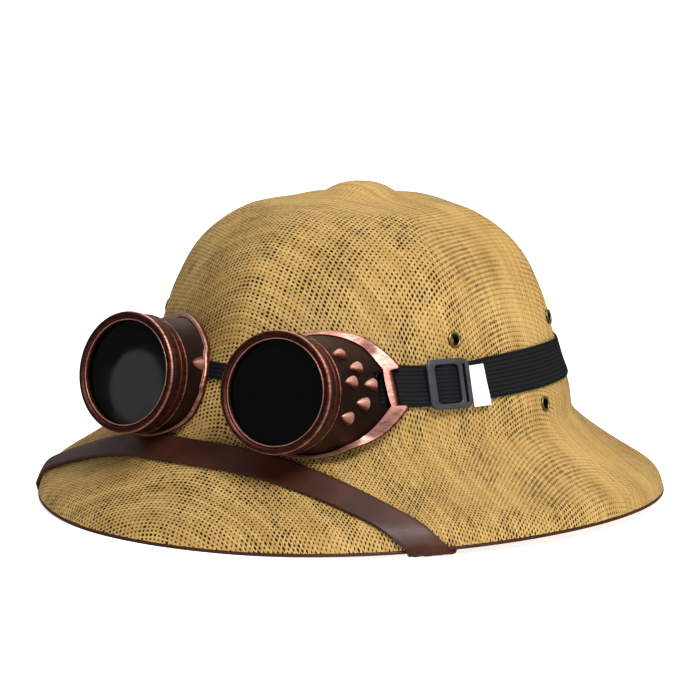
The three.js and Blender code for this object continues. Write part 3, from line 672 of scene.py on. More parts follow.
@dataclass(frozen=True)
class BrassFinish:
    """Antique brass of the eyelets, dark in its bore."""

    colour: tuple[int, int, int] = (150, 132, 88)
    dark: tuple[int, int, int] = (38, 32, 20)
    patchiness: float = 0.7
    relief: float = 0.00006

    def make(self) -> bpy.types.Material:
        """Builds the material.

        Returns:
            The material.
        """
        s = Shading("antique_brass", Metallic=0.9, Roughness=0.36)
        cloud = s.noise(s.place(), 420.0, 3.0, 0.6)
        patches = s.math("MULTIPLY_ADD", cloud, self.patchiness, -self.patchiness / 2)
        share = s.remap(s.math("ADD", s.attribute("wear"), patches), 0.1, 0.8, 0.0, 1.0)
        s.set(Base_Color=s.blend(share, linear(*self.dark), linear(*self.colour)))
        s.relief(cloud, self.relief, 0.4)
        return s.material


@dataclass(frozen=True)
class LensFinish:
    """Very dark green-black gloss of the lenses, with faint lighter clouds of painted reflection."""

    colour: tuple[int, int, int] = (1, 2, 1)
    haze: tuple[int, int, int] = (4, 6, 5)

    def make(self) -> bpy.types.Material:
        """Builds the material.

        Returns:
            The material.
        """
        s = Shading("dark_lens", Specular_IOR_Level=0.14)
        film_and_reflection = s.noise(s.place(), 60.0, 2.0)
        s.set(Roughness=s.remap(film_and_reflection, 0.3, 0.8, 0.03, 0.08))
        # Faint lighter clouds in the glass colour: painted reflection
        s.set(Base_Color=s.blend(film_and_reflection, linear(*self.colour), linear(*self.haze)))
        return s.material


@dataclass(frozen=True)
class ElasticFinish:
    """Black knitted elastic, with painted sheen on the rib crests and painted shade in the grooves."""

    colour: tuple[int, int, int] = (3, 4, 4)
    shine: tuple[int, int, int] = (31, 33, 34)
    knit: tuple[float, float] = (9.0, 13.0)
    knit_relief: float = 0.00008
    lint_relief: float = 0.0001

    def make(self) -> bpy.types.Material:
        """Builds the material.

        Returns:
            The material.
        """
        s = Shading("black_elastic", Roughness=0.85, Specular_IOR_Level=0.08)
        split = s.node("ShaderNodeSeparateXYZ")
        s.feed(split.inputs[0], s.cloth())
        along, across = (s.math("SINE", s.math("MULTIPLY", split.outputs[k], self.knit[k])) for k in (0, 1))
        loops = s.math("MULTIPLY_ADD", s.math("MULTIPLY", along, across), 0.5, 0.5)
        lint = s.noise(s.place(), 700.0, 2.0, 0.6)
        # Point values lighten the rib crests and darken the grooves: painted sheen and painted shade; lint
        # adds random tone
        tone = s.math("ADD", s.math("MULTIPLY", s.attribute("wear"), 0.6), s.math("MULTIPLY", lint, 0.3))
        s.set(Base_Color=s.blend(tone, linear(*self.colour), linear(*self.shine)))
        s.relief(loops, self.knit_relief, 0.6)
        s.relief(lint, self.lint_relief, 0.4)
        return s.material


@dataclass(frozen=True)
class PlasticFinish:
    """Dark moulded plastic of the slider."""

    colour: tuple[int, int, int] = (40, 43, 47)
    rubbed: tuple[int, int, int] = (58, 62, 66)
    relief: float = 0.00003

    def make(self) -> bpy.types.Material:
        """Builds the material.

        Returns:
            The material.
        """
        s = Shading("moulded_plastic", Specular_IOR_Level=0.5)
        cloud = s.noise(s.place(), 260.0, 3.0)
        s.set(Base_Color=s.blend(cloud, linear(*self.colour), linear(*self.rubbed)))
        s.set(Roughness=s.remap(cloud, 0.3, 0.7, 0.3, 0.4))
        s.relief(s.noise(s.place(), 1400.0, 2.0), self.relief, 0.5)
        return s.material


@dataclass(frozen=True)
class TapeFinish:
    """Plain white woven tape."""

    colour: tuple[int, int, int] = (250, 250, 248)
    shade: tuple[int, int, int] = (226, 226, 222)
    threads: float = 16.0
    relief: float = 0.00004

    def make(self) -> bpy.types.Material:
        """Builds the material.

        Returns:
            The material.
        """
        s = Shading("white_tape", Roughness=0.7)
        split = s.node("ShaderNodeSeparateXYZ")
        s.feed(split.inputs[0], s.cloth())
        rows, cross = (s.math("SINE", s.math("MULTIPLY", split.outputs[k], self.threads)) for k in (0, 1))
        weave = s.math("MULTIPLY_ADD", s.math("MULTIPLY", rows, cross), 0.5, 0.5)
        s.set(Base_Color=s.blend(weave, linear(*self.shade), linear(*self.colour)))
        s.relief(weave, self.relief, 0.5)
        return s.material


# Hat


@dataclass
class HatForm:
    """Surface of the straw shell.

    The profile gives the crown's rise from foot to top and its reach, as shares.
    """

    crown_half_width: float = 100.6
    crown_half_length: float = 113.8
    top: float = 146.5
    foot: float = 46.0
    foot_back_rise: float = -3.0
    button_height: float = 5.4
    button_radius: float = 16.5
    panels: int = 6
    ridge_height: float = 7.0
    ridge_softness: float = 0.08
    ridge_sink: float = 0.6
    wall: float = 2.0
    brim_half_width: float = 144.0
    brim_half_length: float = 166.0
    side_rise: float = 4.2
    flat_angle: float = math.radians(14)
    turn_down: float = 7.5
    fold_width: float = 4.0
    sag: float = 0.8
    fillet: float = 2.5
    binding_width: float = 2.6
    binding_height: float = 1.4
    brim_rows: int = 34
    fold_rows: int = 15
    gap: float = 0.3
    profile: tuple[tuple[float, float], ...] = (
        (1.0, 0.0), (0.997, 0.1), (0.985, 0.226), (0.955, 0.431), (0.915, 0.534), (0.86, 0.62),
        (0.79, 0.698), (0.71, 0.758), (0.61, 0.808), (0.5, 0.853), (0.38, 0.891),
        (0.25, 0.934), (0.12, 0.982), (0.0, 1.0),
    )

    def __post_init__(self) -> None:
        """Draws the crown's profile as a smooth line."""
        line = catmull(np.array(self.profile), 7)
        self.ups = np.minimum.accumulate(line[:, 0])
        self.outs = np.maximum.accumulate(line[:, 1])

    def foot_height(self, theta: Array) -> Array:
        """Height of the crown's foot."""
        return self.foot + self.foot_back_rise * (1 - np.cos(theta)) / 2

    def edge_height(self, theta: Array) -> Array:
        """Height of the binding's underside."""
        flat = math.sin(self.flat_angle)
        return self.side_rise * np.maximum(0, (np.abs(np.sin(theta)) - flat) / (1 - flat)) ** 1.5

    def foot_radius(self, theta: Array) -> Array:
        """Radius of the crown's foot."""
        return 1 / np.hypot(np.sin(theta) / self.crown_half_width, np.cos(theta) / self.crown_half_length)

    def brim_radius(self, theta: Array) -> Array:
        """Radius of the brim's edge."""
        return 1 / np.hypot(np.sin(theta) / self.brim_half_width, np.cos(theta) / self.brim_half_length)

    def ridge(self, theta: Array, out: Array) -> Array:
        """Swelling of the pressed ridges between the crown's panels.

        Args:
            theta: Angles round the hat.
            out: Shares of the crown's reach.

        Returns:
            The swelling.
        """
        wave = 1 - np.hypot(np.sin(self.panels / 2 * theta), self.ridge_softness)
        fade = np.minimum(1, 2 * out) * np.minimum(1, (1 - out) / (2 * self.ridge_softness))
        return self.ridge_height * fade * (wave - self.ridge_sink)

    def crown_line(self, theta: Array, up: Array, out: Array) -> tuple[Array, Array]:
        """Radius and height of the crown at shares of its profile.

        Args:
            theta: Angles round the hat.
            up: Shares of its rise.
            out: Shares of its reach.

        Returns:
            The radius and the height.
        """
        r = self.foot_radius(theta) * out + self.ridge(theta, out)
        button = self.button_height * np.exp(-((r / self.button_radius) ** 4))
        return r, mix(self.foot_height(theta), self.top, up) + button

    def brim_line(self, theta: Array, out: Array) -> tuple[Array, Array]:
        """Radius and height of the brim at shares of its width.

        Args:
            theta: Angles round the hat.
            out: Shares of its width.

        Returns:
            The radius and the height.
        """
        foot = self.foot_height(theta)
        edge = self.edge_height(theta)
        width = self.brim_radius(theta) - self.foot_radius(theta)
        turn = self.turn_down / (foot - edge)
        fold = np.exp((out - 1) * (width / self.fold_width) * 2)
        share = (1 - turn) * out**self.sag + turn * fold * out
        low = edge + self.binding_height + self.gap
        return mix(self.foot_radius(theta), self.brim_radius(theta), out), mix(foot, low, share)

    def lines(self, theta: Array) -> tuple[Array, Array, int]:
        """Outer lines of the shell from the top to the edge, one per angle.

        Args:
            theta: Angles round the hat.

        Returns:
            Radii and heights as (angle, row), and the row of the crown's foot.
        """
        at = np.asarray(theta)[:, None]
        crown = self.crown_line(at, self.ups[None, :], self.outs[None, :])
        steps = [np.linspace(0.02, 0.88, self.brim_rows), np.linspace(0.895, 1, self.fold_rows)]
        brim = self.brim_line(at, np.concatenate(steps)[None, :])
        r = np.concatenate([crown[0], brim[0]], axis=1)
        z = np.concatenate([crown[1], brim[1]], axis=1)
        foot = len(self.ups) - 1
        run = run_along(r, z)
        run -= run[:, foot:foot + 1]
        t = np.clip((run + self.fillet) / (2 * self.fillet), 0, 1)
        inside = np.abs(run) < self.fillet
        for line in (r, z):
            ends = []
            for reach in (-self.fillet, self.fillet):
                ends.append(np.array([np.interp(reach, *pair) for pair in zip(run, line)])[:, None])
            corner = line[:, foot:foot + 1].copy()
            curve = (1 - t) ** 2 * ends[0] + 2 * t * (1 - t) * corner + t**2 * ends[1]
            line[inside] = curve[inside]
        return r, z, foot

    def wall_at(self, theta: Array, z: Array) -> tuple[Array, Array, Array]:
        """Radius and outward normal of the crown's wall.

        Args:
            theta: Angles round the hat.
            z: Heights.

        Returns:
            The radius, and the normal's radial and upward parts.
        """
        foot = self.foot_height(theta)

        def radius(height: Array) -> Array:
            """Radius at a height.

            Args:
                height: Height on the crown.

            Returns:
                The radius.
            """
            up = np.maximum(0, (height - foot) / (self.top - foot))
            out = np.interp(up, self.ups[::-1], self.outs[::-1])
            return self.foot_radius(theta) * out + self.ridge(theta, out)

        step = 1.5
        slope = (radius(z + step) - radius(z - step)) / (2 * step)
        length = np.hypot(1, slope)
        return radius(z), 1 / length, -slope / length

    def on_crown(self, theta: Array, z: Array, lift: Array) -> Array:
        """Points lifted off the crown's wall."""
        r, out, up = self.wall_at(theta, z)
        return round_hat(theta, r + lift * out, z + lift * up)

    def axes(self, theta: float, z: float, reach: float) -> tuple[Array, Array, Array]:
        """Axes of a flat piece on the crown: along it, up it and out of it.

        Args:
            theta: Angle round the hat.
            z: Height.
            reach: Half the piece's length.

        Returns:
            The three axes.
        """
        turn = reach / self.crown_half_width
        along = self.on_crown(theta + turn, z, 0.0) - self.on_crown(theta - turn, z, 0.0)
        rise = self.on_crown(theta, z + reach, 0.0) - self.on_crown(theta, z - reach, 0.0)
        out = np.cross(along, rise)
        along, out = along / np.linalg.norm(along), out / np.linalg.norm(out)
        return along, np.cross(out, along), out

    def stand_off(self, points: Array) -> Array:
        """How far points stand off the outside of the shell.

        Args:
            points: The points.

        Returns:
            Their distances, below 0 inside.
        """
        theta = np.arctan2(points[..., 0], -points[..., 1])
        r = np.hypot(points[..., 0], points[..., 1])
        z = points[..., 2]
        wall, out, _ = self.wall_at(theta, z)
        from_crown = (r - wall) * out
        foot = self.foot_radius(theta)
        share = np.maximum(0, (r - foot) / (self.brim_radius(theta) - foot))
        here = self.brim_line(theta, np.clip(share, 1e-6, 1))
        inwards = self.brim_line(theta, np.clip(share - 0.05, 1e-6, 1))
        run = here[0] - inwards[0]
        slope = np.where(run > 1e-4, (inwards[1] - here[1]) / np.maximum(run, 1e-4), 1.0)
        return np.minimum(from_crown, (z - here[1]) / np.hypot(1, slope))


@dataclass
class StrawShell:
    """The pressed straw shell, with its eyelet holes and its edge binding."""

    form: HatForm
    columns: int = 360
    closed_top: tuple[float, float] = (18.0, 46.8)
    closed_sides: tuple[float, float] = (math.radians(80), math.radians(112))
    open_back: tuple[float, float] = (math.pi - 1.4, math.pi - 0.9)
    side_closing: float = 0.8
    binding_round: float = 0.45

    def build(self, holes: Sequence[bpy.types.Object]) -> bpy.types.Object:
        """Makes the shell as outer and inner skins that meet at the edge.

        Args:
            holes: Solids to cut out.

        Returns:
            The object.
        """
        theta = np.linspace(0, 2 * math.pi, self.columns, endpoint=False)
        r, z, _ = self.form.lines(theta)
        out, up = line_normals(r, z)
        run = run_along(r, z)
        last_row = r.shape[1]
        fold = last_row - self.form.fold_rows + 1
        keep = np.r_[1:last_row]
        few = np.r_[1:fold:2, fold:last_row][::-1]
        wall = self.form.wall
        inner_r, inner_z = r - wall * out, z - wall * up
        draft = Draft()
        rows_r = np.concatenate([r[:, keep], inner_r[:, few]], axis=1).T
        rows_z = np.concatenate([z[:, keep], inner_z[:, few]], axis=1).T
        rows_run = np.concatenate([run[:, keep], run[:, few]], axis=1).T
        cloth, closed = self.threads(theta, rows_r, rows_run)
        start = draft.add(round_hat(theta[None, :], rows_r, rows_z), closed, cloth.reshape(-1, 2))
        draft.grid(start, len(rows_r), self.columns, False, True)
        last = start + (len(rows_r) - 1) * self.columns
        peak = self.form.top + self.form.button_height
        top = draft.add([[0, 0, peak]])
        under = draft.add([[0, 0, peak - wall]])
        draft.fan(top, list(range(start, start + self.columns))[::-1])
        draft.fan(under, list(range(last, last + self.columns)))
        shell = draft.build("straw_shell_woven", 50.0)
        cut_away(shell, holes)
        return shell

    def threads(self, theta: Array, r: Array, run: Array) -> tuple[Array, Array]:
        """Lays the flat cloth over the block, as if its threads only turned in the weave.

        Args:
            theta: Angles round the hat.
            r: Radii as (row, angle).
            run: Way from the top along the surface, as (row, angle).

        Returns:
            Places on the flat cloth as (row, angle, 2), and how closed the weave is.
        """
        along, across = np.cos(theta), np.sin(theta)
        draw = np.minimum(1.0, r / np.maximum(run, 1e-6))
        cloth = [run * (draw * part + (1 - draw) * part**3) for part in (across, along)]
        at_top = 1 - smooth_step(*self.closed_top, run)
        side = np.abs(np.arctan2(across, along))
        at_side = smooth_step(*self.closed_sides, side) * (1 - smooth_step(*self.open_back, side))
        return np.stack(cloth, axis=-1), np.maximum(at_top, self.side_closing * at_side[None, :]).reshape(-1)

    def binding(self) -> bpy.types.Object:
        """Makes the rounded strip sewn under the brim's edge.

        Returns:
            The object.
        """
        form = self.form
        theta = np.linspace(0, 2 * math.pi, self.columns, endpoint=False)[:, None]
        low = form.edge_height(theta)
        outer = form.brim_radius(theta) + (form.binding_width - form.wall) / 2
        turn = np.linspace(0, 2 * math.pi, 16, endpoint=False)[None, :]
        across = np.sign(np.cos(turn)) * np.abs(np.cos(turn)) ** self.binding_round
        rise = np.sign(np.sin(turn)) * np.abs(np.sin(turn)) ** self.binding_round
        r = outer - form.binding_width / 2 * (1 - across)
        z = low + form.binding_height / 2 * (1 + rise)
        edge = np.broadcast_to(0.25 + 0.25 * np.abs(across), r.shape)
        return loft("edge_binding", round_hat(theta, r, z), True, edge, None, 60.0)


@dataclass
class ChinStrap:
    """Leather strap over the front of the brim, round its edge and up inside the crown."""

    form: HatForm
    width: float = 15.0
    thickness: float = 1.6
    turn: float = math.radians(-4)
    front_drop: float = 15.0
    edge_angle: float = math.radians(50)
    bow: float = 2.6
    tail: float = 9.0
    eyelet_angle: float = math.radians(98)
    eyelet_height: float = 54.0
    lift: float = 0.4
    soft_edge: float = 0.35
    soft_corner: float = 0.1
    rubbed_width: float = 1.2
    rubbed: float = 0.8
    inside_rows: int = 34

    def __post_init__(self) -> None:
        """Lays out the line that the strap follows, at a fan of angles."""
        form = self.form
        self.fan = np.radians(np.arange(-125, 125.1, 0.5))
        r, z, foot = form.lines(self.fan)
        out, up = line_normals(r, z)
        outer_r, outer_z = r[:, foot:-1], z[:, foot:-1]
        edge = form.brim_radius(self.fan) + (form.binding_width - form.wall) / 2
        low = form.edge_height(self.fan)
        high, wide = form.binding_height + form.gap, form.binding_width
        corners = [(0, high), (0, 0.6), (0.15, 0.18), (0.55, 0)]
        corners += [(wide - 0.5, 0), (wide - 0.12, 0.15), (wide, 0.55)]
        fold_r = np.stack([edge - back for back, _ in corners], axis=1)
        fold_z = np.stack([low + rise for _, rise in corners], axis=1)
        first = foot - self.inside_rows
        inner = [(line - form.wall * part)[:, first:-3][:, ::-1] for line, part in ((r, out), (z, up))]
        self.line_r = np.concatenate([outer_r, fold_r, inner[0]], axis=1)
        self.line_z = np.concatenate([outer_z, fold_z, inner[1]], axis=1)
        self.run = run_along(self.line_r, self.line_z)
        self.out, self.up = line_normals(self.line_r, self.line_z)
        self.edge_row = outer_r.shape[1] + 1
        self.foot_row = self.line_r.shape[1] - 1 - self.inside_rows

    def place(self, theta: Array, distance: Array, lift: float) -> Array:
        """Points over the line, at an angle and a distance from the crown's foot.

        Args:
            theta: Angles round the hat.
            distance: Distances along the line.
            lift: Height over it.

        Returns:
            The points.
        """
        theta, distance = np.broadcast_arrays(theta, distance)
        at = np.interp(theta.ravel(), self.fan, np.arange(len(self.fan)))
        points = np.zeros((theta.size, 3))
        lines = (self.line_r, self.line_z, self.out, self.up)
        for n, (share, reach, angle) in enumerate(zip(at, distance.ravel(), theta.ravel())):
            i = min(int(share), len(self.fan) - 2)
            pair = []
            for k in (i, i + 1):
                r, z, out, up = (np.interp(reach, self.run[k], line[k]) for line in lines)
                pair.append(np.array([r + lift * out, z + lift * up]))
            r, z = mix(pair[0], pair[1], share - i)
            points[n] = round_hat(angle, r, z)
        return points.reshape(theta.shape + (3,))

    def distance_of(self, theta: float, row: int) -> float:
        """Distance from the crown's foot to a row of the line."""
        return float(np.interp(theta, self.fan, self.run[:, row]))

    def middle(self, side: int) -> Array:
        """Middle line on one side as rows of angle and distance.

        Args:
            side: 1 for the wearer's left, -1 for the right.

        Returns:
            The rows, from the front.
        """
        edge = self.distance_of(side * self.edge_angle + self.turn, self.edge_row)
        inside = self.distance_of(side * self.eyelet_angle, self.foot_row)
        end = inside + self.eyelet_height - self.form.foot_height(self.eyelet_angle) + self.tail
        rate = self.bow * (edge - self.front_drop) / self.edge_angle
        t = np.linspace(0, 1, 61)
        distance = self.front_drop + (edge - self.front_drop) * t**self.bow
        front = np.stack([self.edge_angle * t, distance], axis=1)
        left = self.eyelet_angle - side * self.turn - self.edge_angle
        start_rate = (end - edge) / rate / left
        t = np.linspace(0, 1, 91)[1:]
        eased = start_rate * t * (1 - t) ** 2 + t * t * (3 - 2 * t)
        back = np.stack([self.edge_angle + left * eased, mix(edge, end, t)], axis=1)
        return np.vstack([front, back])

    def build(self, holes: Sequence[bpy.types.Object]) -> bpy.types.Object:
        """Makes the strap with rounded edges.

        Args:
            holes: Solids to cut out.

        Returns:
            The object.
        """
        left, right = self.middle(1), self.middle(-1)
        right = right * np.array([-1.0, 1.0])
        line = np.vstack([right[:0:-1], left])
        theta = line[:, 0] + self.turn
        base = self.place(theta, line[:, 1], 0.0)
        radius = np.hypot(base[:, 0], base[:, 1])
        run = np.gradient(line[:, 0]) * radius
        rise = np.gradient(line[:, 1])
        length = np.hypot(run, rise)
        half, bottom, top = self.width / 2, self.lift, self.lift + self.thickness
        soft, bevel = self.soft_edge, self.soft_corner
        across = np.linspace(-half + soft, half - soft, 9)
        edge = [(half - bevel, bottom + bevel), (half, bottom + soft)]
        edge += [(half, top - soft), (half - bevel, top - bevel)]
        loop = [(x, bottom) for x in across] + edge
        loop += [(x, top) for x in across[::-1]] + [(-x, z) for x, z in edge[::-1]]
        columns, wear = [], []
        for reach, lift in loop:
            angle = theta - reach * rise / length / radius
            columns.append(self.place(angle, line[:, 1] + reach * run / length, lift))
            near_edge = smooth_step(half - self.rubbed_width, half, abs(reach))
            wear.append(np.full(len(theta), near_edge * self.rubbed))
        sections = np.stack(columns, axis=1)
        strap = loft("chin_strap_leather", sections, False, np.stack(wear, axis=1), None, 55.0)
        cut_away(strap, holes)
        return strap


# Eyelets


def instance_tree(name: str, material: bpy.types.Material) -> bpy.types.NodeTree:
    """Node tree that sets a copy of a piece on each point, turned by the point's turn.

    Args:
        name: Name of the tree.
        material: Finish of the copies.

    Returns:
        The tree, with inputs for the points, the piece and its size.
    """
    tree = bpy.data.node_groups.new(name, "GeometryNodeTree")
    face = tree.interface
    face.new_socket("Points", in_out="INPUT", socket_type="NodeSocketGeometry")
    face.new_socket("Piece", in_out="INPUT", socket_type="NodeSocketObject")
    size = face.new_socket("Size", in_out="INPUT", socket_type="NodeSocketFloat")
    size.default_value = 1.0
    face.new_socket("Geometry", in_out="OUTPUT", socket_type="NodeSocketGeometry")
    nodes, link = tree.nodes, tree.links.new
    entry, leave = nodes.new("NodeGroupInput"), nodes.new("NodeGroupOutput")
    info = nodes.new("GeometryNodeObjectInfo")
    turn = nodes.new("GeometryNodeInputNamedAttribute")
    turn.data_type = "FLOAT_VECTOR"
    turn.inputs["Name"].default_value = "turn"
    euler = nodes.new("FunctionNodeEulerToRotation")
    copies = nodes.new("GeometryNodeInstanceOnPoints")
    real = nodes.new("GeometryNodeRealizeInstances")
    finish = nodes.new("GeometryNodeSetMaterial")
    finish.inputs["Material"].default_value = material
    link(entry.outputs["Piece"], info.inputs["Object"])
    link(entry.outputs["Points"], copies.inputs["Points"])
    link(info.outputs["Geometry"], copies.inputs["Instance"])
    link(turn.outputs["Attribute"], euler.inputs[0])
    link(euler.outputs[0], copies.inputs["Rotation"])
    link(entry.outputs["Size"], copies.inputs["Scale"])
    link(copies.outputs["Instances"], real.inputs[0])
    link(real.outputs[0], finish.inputs["Geometry"])
    link(finish.outputs[0], leave.inputs[0])
    return tree


def set_on_points(
    name: str, model: bpy.types.Object, seats: Sequence[Matrix], material: bpy.types.Material
) -> bpy.types.Object:
    """Copies a model onto seats with a node tree and makes the result plain mesh.

    Args:
        name: Name of the result.
        model: Piece to copy, which is removed.
        seats: Where each copy stands, in millimetres.
        material: Finish of the copies.

    Returns:
        The object.
    """
    mesh = bpy.data.meshes.new(name)
    mesh.from_pydata([seat.translation * MM for seat in seats], [], [])
    turns = mesh.attributes.new("turn", "FLOAT_VECTOR", "POINT")
    for item, seat in zip(turns.data, seats):
        item.vector = seat.to_3x3().to_euler()
    piece = put_in_scene(name, mesh)
    tree = instance_tree(name + "_tree", material)
    modifier = piece.modifiers.new("copies", "NODES")
    modifier.node_group = tree
    sockets = {item.name: item.identifier for item in tree.interface.items_tree if item.in_out == "INPUT"}
    modifier[sockets["Piece"]] = model
    modifier[sockets["Size"]] = 1.0
    bake_modifiers(piece)
    bpy.data.objects.remove(model)
    bpy.data.node_groups.remove(tree)
    return piece


def lathe(name: str, profile: Array, sides: int, wear: Array, sharp: float = 40.0) -> bpy.types.Object:
    """Turns a closed profile of radius and height round +Z.

    Args:
        name: Name of the object.
        profile: Rows of radius and height.
        sides: Steps round.
        wear: How worn the finish is at each row.
        sharp: Angle in degrees from which an edge is drawn sharp.

    Returns:
        The object.
    """
    turn = np.linspace(0, 2 * math.pi, sides, endpoint=False)[:, None]
    r, z = profile[None, :, 0], profile[None, :, 1]
    points = np.stack(np.broadcast_arrays(r * np.cos(turn), r * np.sin(turn), z), axis=-1)
    return loft(name, points, True, wear, None, sharp)


@dataclass
class Eyelets:
    """Six rolled brass eyelets in the crown."""

    form: HatForm
    radius: float = 3.8
    bore: float = 2.55
    barrel: float = 2.9
    room: float = 0.15
    plate: float = 0.3
    roll: float = 0.6
    crown_grip: float = 2.6
    low_grip: float = 4.5
    hole_reach: float = 9.0
    sides: int = 40
    crown_places: tuple[tuple[float, float], ...] = ((62.4, 88.8), (118.6, 89.6))
    low_places: tuple[tuple[float, float], ...] = ((97.2, 53.4),)

    def seats(self, places: Sequence[tuple[float, float]]) -> list[Matrix]:
        """Seats of the eyelets at places given as angle and height, on both sides.

        Args:
            places: Angles in degrees and heights.

        Returns:
            The seats.
        """
        made = []
        for degrees, z in places:
            for side in Side:
                theta = side.value * math.radians(degrees)
                along, up, out = self.form.axes(theta, z, self.radius)
                made.append(seat_matrix(along, up, out, self.form.on_crown(theta, z, 0.0)))
        return made

    def holes(self, places: Sequence[tuple[float, float]]) -> list[bpy.types.Object]:
        """Solids that cut the holes for the eyelets at some places.

        Args:
            places: Angles in degrees and heights.

        Returns:
            The solids.
        """
        made = []
        for seat in self.seats(places):
            radius, reach = self.barrel + self.room, self.hole_reach
            ring = np.array([[0, -reach], [radius, -reach], [radius, reach], [0, reach]])
            cutter = lathe("eyelet_hole", ring, 24, 0.0)
            stand(cutter, seat)
            made.append(cutter)
        return made

    def model(self, grip: float) -> bpy.types.Object:
        """One eyelet with rolled rims that hold the given thickness.

        Args:
            grip: Thickness that it holds.

        Returns:
            The object.
        """
        front, back = self.plate, -grip - self.plate
        steps = 9
        turn = np.linspace(0, math.pi, steps)
        middle, half = (self.radius + self.bore) / 2, (self.radius - self.bore) / 2
        front_roll = np.stack([middle + half * np.cos(turn), front + self.roll * np.sin(turn)], axis=1)
        back_roll = np.stack([middle - half * np.cos(turn), back - self.roll * np.sin(turn)], axis=1)
        profile = np.vstack([front_roll, back_roll, [[self.barrel, back]], [[self.barrel, front - 0.05]]])
        wear = np.concatenate([0.25 + 0.75 * np.sin(turn), 0.2 + 0.6 * np.sin(turn), [0.0, 0.0]])
        wear[[steps - 1, steps]] = 0.0
        return lathe("eyelet_model", profile, self.sides, wear[None, :], 60.0)


# Goggles


